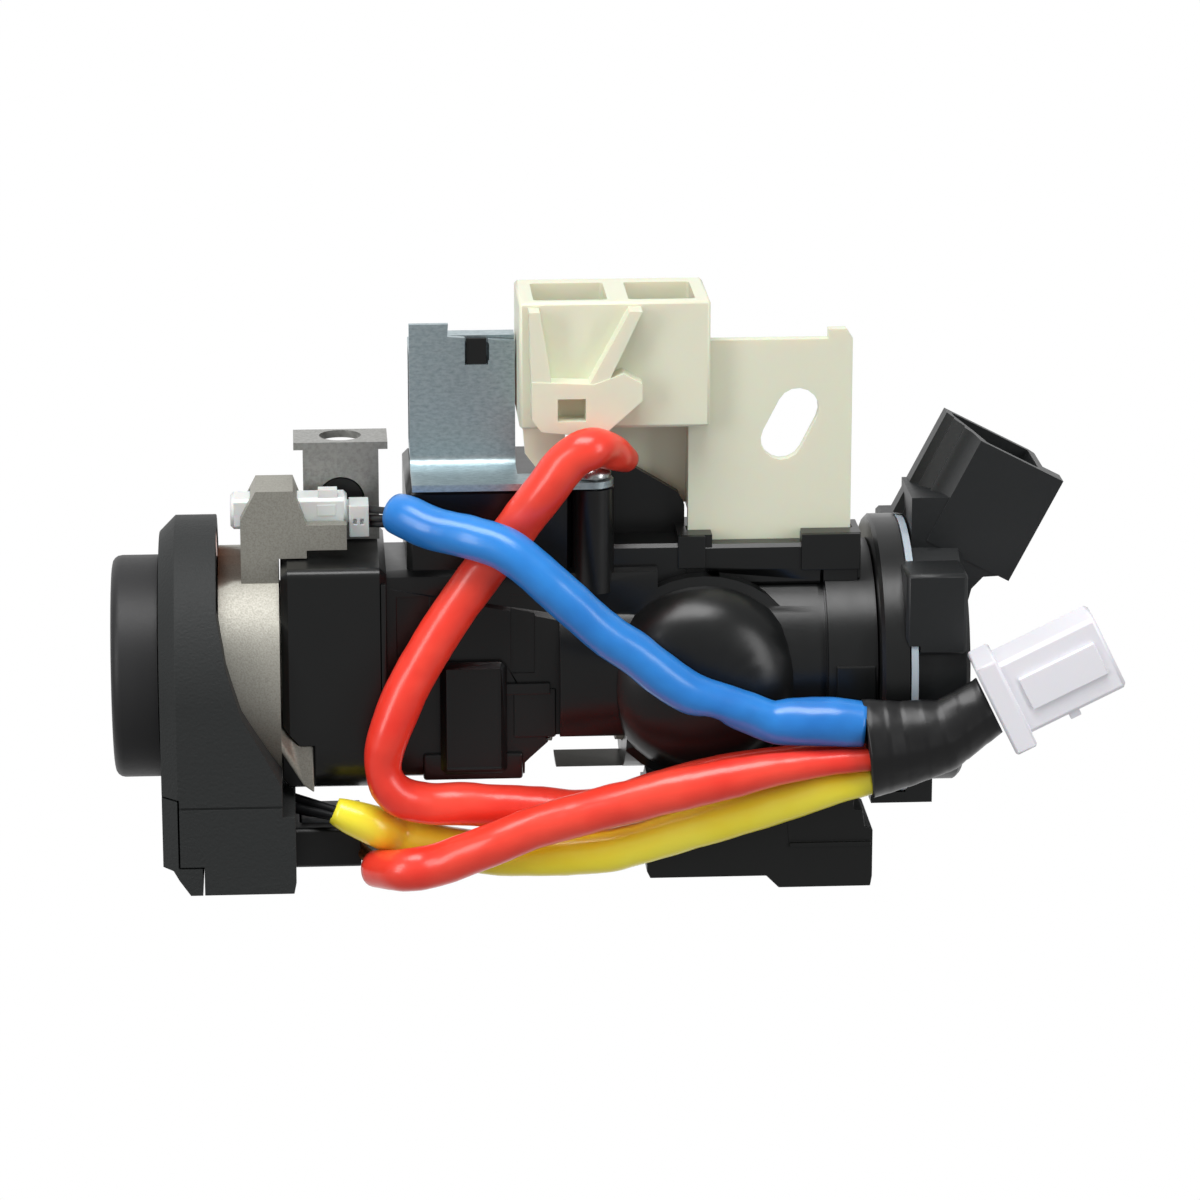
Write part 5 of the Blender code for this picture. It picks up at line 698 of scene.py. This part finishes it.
# A black nylon disc with a flange behind it fills the hole in the bracket's web. It is partly a boss seated
# in the hole and partly painted shade: its black stands for the shadow in the hollow there.
hole_shade_disc = weld(
    pole((LUG_MIDDLE, 1.2, WEB_HOLE_HEIGHT), (LUG_MIDDLE, 3.2, WEB_HOLE_HEIGHT), 3.9),
    pole((LUG_MIDDLE, 2.6, WEB_HOLE_HEIGHT), (LUG_MIDDLE, 4.6, WEB_HOLE_HEIGHT), 4.6, 4.2),
)
settle(ease(hole_shade_disc, 0.2), "lug_hole_shade_disc", smooth_nylon)
# Zinc-plated screw steel: bright, with crisp highlights on its round edges.
screw_steel = metal("plated_screw_steel", "#C9CCCC", "#9FA4A5", 0.28, 0.0009, 0.00003)
lug_screw = ease(start_from("lug_screw"), 0.12)
settle(lug_screw, "lug_screw_turned", screw_steel, nodes=["lug_screw"])


# Main housing: black glass-filled nylon, moulded with a bright polished skin. It wraps the
# front of the casting, with the dome over the lock bolt, clips, ribs and shallow pockets.
BARREL_INSIDE = 18.7
BARREL_RADIUS = 19.55
GROOVE_RADIUS = 18.75

# Glass-filled nylon with a polished skin: deep black, with long soft reflections that waver.
gloss_nylon = plain_plastic(
    "polished_black_nylon", "#131414", 0.30, 0.0040, 0.00006, Specular_IOR_Level=0.45
)
main = start_from("main_housing")
hollow = pole((9.0, 0.0, 0.0), (32.0, 0.0, 0.0), BARREL_INSIDE, sides=96)
sheet = carve(pole((9.8, 0.0, 0.0), (19.9, 0.0, 0.0), BARREL_RADIUS, sides=96), hollow)
carve(sheet, block((8.0, -3.0, -30.0), (22.0, 25.0, 30.0)), block((8.0, -30.0, 15.8), (22.0, 5.0, 30.0)))
carve(sheet, block((8.0, -30.0, -30.0), (22.0, 5.0, -13.0)))
ring_cutter = pole((20.35, 0.0, 0.0), (20.95, 0.0, 0.0), 26.0, sides=96)
carve(ring_cutter, pole((20.0, 0.0, 0.0), (22.0, 0.0, 0.0), GROOVE_RADIUS, sides=96))
carve(ring_cutter, block((19.0, -8.0, -30.0), (23.0, 30.0, 30.0)))
weld(main, sheet)
carve(main, ring_cutter)
weld(
    main,
    block((-55.6, -18.35, -10.5), (-54.75, -10.0, 19.0), 0.2),
    block((-32.9, -15.85, -9.6), (-25.6, -12.0, -0.8), 0.3),
    block((-34.4, -16.3, -1.7), (-26.6, -13.0, 0.3), 0.25),
    block((-48.6, -16.4, -16.9), (-31.4, -12.0, -12.2), 0.5),
    block((-19.9, -15.5, 0.8), (-18.7, -12.0, 5.4), 0.3),
    block((22.5, -20.9, -3.0), (29.3, -12.0, 3.6), 0.3),
    block((-4.35, -12.4, 19.2), (0.4, -9.0, 25.05), 0.25),
    block((17.0, -12.4, 18.6), (27.25, -9.0, 25.05), 0.25),
)
carve(
    main,
    block((-44.6, -19.0, -14.6), (-35.1, -16.95, 3.4), 0.3),
    block((-53.0, -15.95, 1.0), (-47.2, -15.1, 16.0), 0.2),
    block((-33.4, -15.95, 2.0), (-29.2, -15.1, 16.0), 0.2),
    pole((2.0, -14.0, 17.3), (2.0, -11.4, 17.3), 1.2),
)
corner = slice_of(
    ((-73.4, -5.6), (-69.8, -9.6), (-67.2, -9.6), (-67.2, -26.0), (-73.4, -26.0)), -19.0, -13.2
)
waist = slice_of(
    ((-31.0, -18.5), (-31.0, -14.2), (-30.2, -13.4), (-25.6, -9.2), (-13.4, -9.2), (-13.4, -18.5)),
    -20.0,
    9.0,
)
carve(main, corner, waist)
ease(main, 0.0)
settle(main, "main_housing_moulded", gloss_nylon, nodes=["main_housing"])


# Shift-lock solenoid: a yoke and a frame of zinc-plated sheet steel, blanked and bent, round a
# black bobbin with a copper winding. One screw holds the yoke's ear to the housing.
YOKE_STEP = 58.3
FRAME_STEP = 53.9
BOBBIN_TOP = 52.5
WINDING_TOP = 50.8

# Rolled sheet steel with bright zinc plating: cool grey-blue, with faint streaks across it.
# The streaks are drawn wider than the real ones, so that they show.
brushed_zinc = metal(
    "zinc_plated_sheet",
    "#B6C4C8",
    "#98A8AE",
    0.38,
    0.0005,
    0.00003,
    streak=(0.45, 1.0, 1.0),
    metallic=0.85,
)
yoke = start_from("solenoid_yoke")
slope = block((-43.4, -4.0, YOKE_STEP), (-31.0, 1.0, 62.0))
turn_about(slope, (-42.0, 0.0, YOKE_STEP), -4.0)
step_cutter = block((-41.6, -4.0, YOKE_STEP), (-31.0, 1.0, 62.0))
notch = block((-40.4, -4.0, 53.4), (-36.4, 1.0, 62.0))
carve(yoke, step_cutter, slope, notch)
ease(yoke, 0.14)
settle(yoke, "solenoid_yoke_bent", brushed_zinc, nodes=["solenoid_yoke"])
back_frame = start_from("solenoid_top_plate")
carve(
    back_frame,
    block((-51.0, 3.4, 50.0), (-31.0, 17.0, 62.0)),
    block((-51.0, -1.0, YOKE_STEP), (-31.0, 19.0, 62.0)),
    block((-51.0, 3.4, FRAME_STEP), (-31.0, 19.0, 62.0)),
)
weld(
    back_frame,
    block((-49.8, 2.2, 52.8), (-31.82, 3.45, YOKE_STEP)),
    block((-49.79, 2.3, 52.8), (-31.81, 17.95, 54.0)),
    block((-49.78, -0.45, 57.1), (-31.83, 3.4, 58.29)),
)
ease(back_frame, 0.14)
settle(back_frame, "solenoid_frame_bent", brushed_zinc, nodes=["solenoid_top_plate"])
bobbin = start_from("solenoid_bobbin")
carve(bobbin, block((-55.0, -5.0, BOBBIN_TOP), (-28.0, 20.0, 62.0)))
tongue = block((-40.1, -1.5, 51.4), (-36.7, -0.7, 57.9))
weld(bobbin, tongue, block((-40.05, -1.2, 51.35), (-36.75, 1.6, 52.4)))
ease(bobbin, 0.10)
settle(bobbin, "solenoid_bobbin_moulded", smooth_nylon, nodes=["solenoid_bobbin"])
# Copper wire under clear enamel: dark orange, with fine lines where the turns lie side by side.
enamelled_copper = metal(
    "enamelled_copper_wire", "#B4622F", "#7E3D1A", 0.30, 0.0005, 0.00008, streak=(1.0, 1.0, 0.2)
)
winding = start_from("solenoid_coil")
carve(winding, block((-55.0, -5.0, WINDING_TOP), (-28.0, 20.0, 62.0)))
ease(winding, 0.30)
settle(winding, "solenoid_winding", enamelled_copper, nodes=["solenoid_coil"])
yoke_screw = ease(start_from("yoke_screw"), 0.15)
settle(yoke_screw, "yoke_screw_turned", screw_steel, nodes=["yoke_screw"])


# Connector bracket: natural nylon, ivory and slightly see-through, moulded as one piece with
# two cavities, a latch and the plate with the slanted slot.
# Natural nylon, moulded: ivory, and light goes a little way in, so that thin walls look warm.
ivory_nylon = plain_plastic(
    "natural_nylon_ivory", "#DEDFC9", 0.42, 0.0020, 0.00004, Subsurface_Weight=0.30, Subsurface_Scale=0.004
)
bracket = ease(start_from("ivory_bracket"), 0.22)
settle(bracket, "ivory_bracket_moulded", ivory_nylon, nodes=["ivory_bracket"])


# Key warning switch and its plug: small bodies of milky nylon along the top of the casting.
# Clear-grade nylon in thin walls: milky white, softer at its edges than the white plug.
milky_nylon = plain_plastic(
    "milky_nylon", "#DDE0DE", 0.36, 0.0016, 0.00003, Subsurface_Weight=0.25, Subsurface_Scale=0.003
)
warning = ease(start_from("warning_switch"), 0.15)
settle(warning, "warning_switch_moulded", milky_nylon, nodes=["warning_switch"])
warning_plug = ease(start_from("warning_switch_plug"), 0.12)
settle(warning_plug, "warning_plug_moulded", milky_nylon, nodes=["warning_switch_plug"])


# Electrical switch: a black flange disc, a grey gasket, and a satin base with the tilted
# connector. Snap straps hold the base to the disc.
# Black nylon with a satin skin: between the polished housing and the grained antenna box.
satin_nylon = plain_plastic(
    "satin_black_nylon", "#191B1C", 0.42, 0.0009, 0.00004, Specular_IOR_Level=0.45
)
disc = ease(start_from("switch_housing"), 0.0)
settle(disc, "switch_disc_moulded", gloss_nylon, nodes=["switch_housing"])
# Silicone rubber: pale grey-blue and soft, with no sharp highlight.
gasket_rubber = plain_plastic(
    "silicone_rubber", "#A7B2BB", 0.50, 0.0010, 0.00003, Subsurface_Weight=0.2, Subsurface_Scale=0.002
)
gasket = ease(start_from("switch_gasket"), 0.0)
settle(gasket, "switch_gasket_ring", gasket_rubber, nodes=["switch_gasket"])
base = ease(start_from("switch_base"), 0.20)
settle(base, "switch_base_moulded", satin_nylon, nodes=["switch_base"])
# Tinned brass, stamped: pale gold, with a bright narrow highlight on each blade.
blade_brass = metal("tinned_brass", "#D8CFB4", "#B5A67C", 0.26, 0.0008, 0.00002)
for number in range(1, 6):
    blade = ease(start_from(f"switch_pin_{number}"), 0.08)
    settle(blade, f"switch_blade_{number}", blade_brass, nodes=[f"switch_pin_{number}"])


# Lower connector: smooth black nylon, clipped under the housing, with its mouth to the right
# and three blades inside.
lower = ease(start_from("lower_connector"), 0.20)
settle(lower, "lower_connector_moulded", smooth_nylon, nodes=["lower_connector"])
for number in range(1, 4):
    blade = ease(start_from(f"lower_pin_{number}"), 0.08)
    settle(blade, f"lower_blade_{number}", blade_brass, nodes=[f"lower_pin_{number}"])


# Key cylinder: a turned zinc sleeve and the key rotor with its slot. The rotor's face is
# polished, and a sprung steel flap closes the slot.
# Zinc alloy, turned: brighter and smoother than the casting round it.
turned_face = metal("turned_zinc", "#C0C0BA", "#B0B0A9", 0.28, 0.0004, 0.00001)
for node, name, body, slot in (
    ("cylinder_sleeve", "cylinder_sleeve_turned", "frame", "cylinder"),
    ("key_rotor", "key_rotor_turned", "key", "cylinder"),
    ("key_shutter", "key_shutter_pressed", "shutter", "cylinder"),
):
    settle(ease(start_from(node), 0.10), name, turned_face, body=body, nodes=[node])


# Inside: the cam shaft, the hardened lock bolt, the plunger, the contact carrier, the coil and
# the board. Only the bolt's end shows.
# Hardened steel, ground: neutral grey and bright. Glass epoxy board: plain green and satin.
hard_steel = metal("hardened_steel", "#AEAEAD", "#A0A09F", 0.34, 0.0004, 0.00001)
board_green = plain_plastic("glass_epoxy", "#1E6B3A", 0.45, 0.0007, 0.00003)
for node, name, body, slot, material in (
    ("cam_shaft", "cam_shaft_cast", "key", "casting", cast_zinc),
    ("lock_bolt", "lock_bolt_hardened", "bolt", "bolt_steel", hard_steel),
    ("solenoid_plunger", "solenoid_plunger_turned", "plunger", "bolt_steel", hard_steel),
    ("switch_rotor", "switch_rotor_moulded", "key", "natural_nylon", milky_nylon),
    ("antenna_coil", "antenna_coil_wound", "frame", "winding", enamelled_copper),
    ("antenna_board", "antenna_board_epoxy", "frame", "circuit_board", board_green),
):
    settle(ease(start_from(node), 0.0), name, material, body=body, nodes=[node])


# Springs: coiled from hard-drawn steel wire, one in front of the lock bolt and one under the plunger.
# In the lock one end of each stands still in its seat and the moving piece presses the other; here each
# keeps its coiled shape.
BOLT_SPRING_SEAT = (0.0, -0.0628, 0.0)
BOLT_STROKE = 0.0066
PLUNGER_SPRING_SEAT = (0.0, 0.0, 0.0203)
PLUNGER_STROKE = 0.0035

# Hard-drawn wire: dark grey, with one bright line along each coil.
spring_wire = metal("drawn_spring_wire", "#9C9D9F", "#86878A", 0.30, 0.0003, 0.00001)
for node, joint, line, seat, travel in (
    ("bolt_spring", "bolt_slide", (0.0, 1.0, 0.0), BOLT_SPRING_SEAT, BOLT_STROKE),
    ("plunger_spring", "plunger_slide", (0.0, 0.0, 1.0), PLUNGER_SPRING_SEAT, PLUNGER_STROKE),
):
    coiled = ease(start_from(node), 0.0)
    settle(coiled, f"{node}_coiled", spring_wire, nodes=[node])
    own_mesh(coiled)


# Bare wires: thin PVC-insulated strands that leave the small plugs and the antenna box and run
# into the mouths of the sleeves, with a copper crimp where the lower red sleeve starts.
def strands(*runs):
    """Add wires of one piece, each from a start to an end with a radius in millimetres."""
    return weld(*[pole(start, end, radius, sides=20) for start, end, radius in runs])


THIN_WIRE = 0.62
COIL_WIRE = 0.75
CRIMP = 1.25

# Thin PVC insulation: plain and satin. Bare copper, rolled: orange and bright where it bends.
black_wire = plain_plastic("black_wire_insulation", "#17181A", 0.42, 0.0010, 0.00001)
grey_wire = plain_plastic("grey_wire_insulation", "#8E9193", 0.45, 0.0010, 0.00001)
crimp_copper = metal("bare_copper", "#D08A55", "#A86236", 0.32, 0.0004, 0.00002)
for piece, name, material, slot in (
    (
        strands(
            ((-57.6, -5.0, 28.9), (-51.4, -17.2, 31.4), THIN_WIRE),
            ((-57.6, -5.0, 27.3), (-51.4, -17.2, 30.3), THIN_WIRE),
            ((-57.6, -4.0, 26.0), (-51.4, -17.4, 29.4), THIN_WIRE),
        ),
        "warning_wires",
        black_wire,
        "switch_plastic",
    ),
    (
        strands(
            ((-71.6, -12.0, -20.6), (-61.6, -19.0, -21.8), COIL_WIRE),
            ((-71.6, -13.0, -22.0), (-61.6, -19.6, -22.6), COIL_WIRE),
            ((-71.6, -11.0, -23.2), (-61.6, -18.6, -22.9), COIL_WIRE),
        ),
        "coil_wires",
        black_wire,
        "switch_plastic",
    ),
    (
        strands(
            ((-60.0, -8.0, -27.4), (-55.4, -18.6, -30.6), THIN_WIRE),
            ((-60.0, -9.5, -28.4), (-55.4, -19.6, -31.4), THIN_WIRE),
        ),
        "antenna_wires",
        grey_wire,
        "grey_plastic",
    ),
    (
        strands(((-60.0, -12.6, -30.0), (-56.4, -18.8, -31.6), CRIMP)),
        "crimp_rolled",
        crimp_copper,
        "winding",
    ),
):
    settle(ease(piece, 0.0), name, material)


# Studio: a white surround that the camera and the bright surfaces see, and three soft lamps.
# Their level lets each colour render about as it is written.
SURROUND_LEVEL = 0.34
LAMP_AIM = (0.0, 0.0, 5.0)
scene = bpy.context.scene
scene.view_settings.view_transform = "Standard"
studio = bpy.data.worlds.new("studio")
scene.world = studio
studio.use_nodes = True
tree = studio.node_tree
tree.nodes.clear()
ray = add(tree, "ShaderNodeLightPath")
way = add(tree, "ShaderNodeSeparateXYZ", {"Vector": add(tree, "ShaderNodeTexCoord").outputs["Generated"]})
behind = add(
    tree,
    "ShaderNodeMapRange",
    {"Value": way.outputs["Y"], "From Min": -0.25, "From Max": 0.75, "To Min": 0.10, "To Max": 1.0},
)
through = add(tree, "ShaderNodeMath", operation="MAXIMUM")
tree.links.new(ray.outputs["Is Camera Ray"], through.inputs[0])
tree.links.new(ray.outputs["Is Transmission Ray"], through.inputs[1])
mirrored = add(tree, "ShaderNodeMath", operation="MULTIPLY")
tree.links.new(ray.outputs["Is Glossy Ray"], mirrored.inputs[0])
tree.links.new(behind.outputs["Result"], mirrored.inputs[1])
plain = add(tree, "ShaderNodeMath", operation="MAXIMUM")
plain.inputs[1].default_value = SURROUND_LEVEL
tree.links.new(mirrored.outputs["Value"], plain.inputs[0])
level = add(tree, "ShaderNodeMath", operation="MAXIMUM")
tree.links.new(through.outputs["Value"], level.inputs[0])
tree.links.new(plain.outputs["Value"], level.inputs[1])
ground = add(tree, "ShaderNodeBackground", {"Color": linear("#FFFFFF"), "Strength": level.outputs["Value"]})
add(tree, "ShaderNodeOutputWorld", {"Surface": ground.outputs["Background"]})


def lamp(name, place, width, height, power):
    """Hang a soft box lamp that looks at the part."""
    light = bpy.data.lights.new(name, "AREA")
    light.shape = "RECTANGLE"
    light.size = width
    light.size_y = height
    light.energy = power
    item = bpy.data.objects.new(name, light)
    bpy.context.scene.collection.objects.link(item)
    item.location = place
    item.rotation_euler = (at(*LAMP_AIM) - item.location).to_track_quat("-Z", "Y").to_euler()


lamp("overhead_box", (-0.15, -0.35, 0.95), 0.80, 0.45, 8.8)
lamp("left_box", (-0.95, -0.75, 0.35), 0.35, 0.80, 4.8)
lamp("right_box", (0.85, -0.85, 0.30), 0.35, 0.80, 4.0)
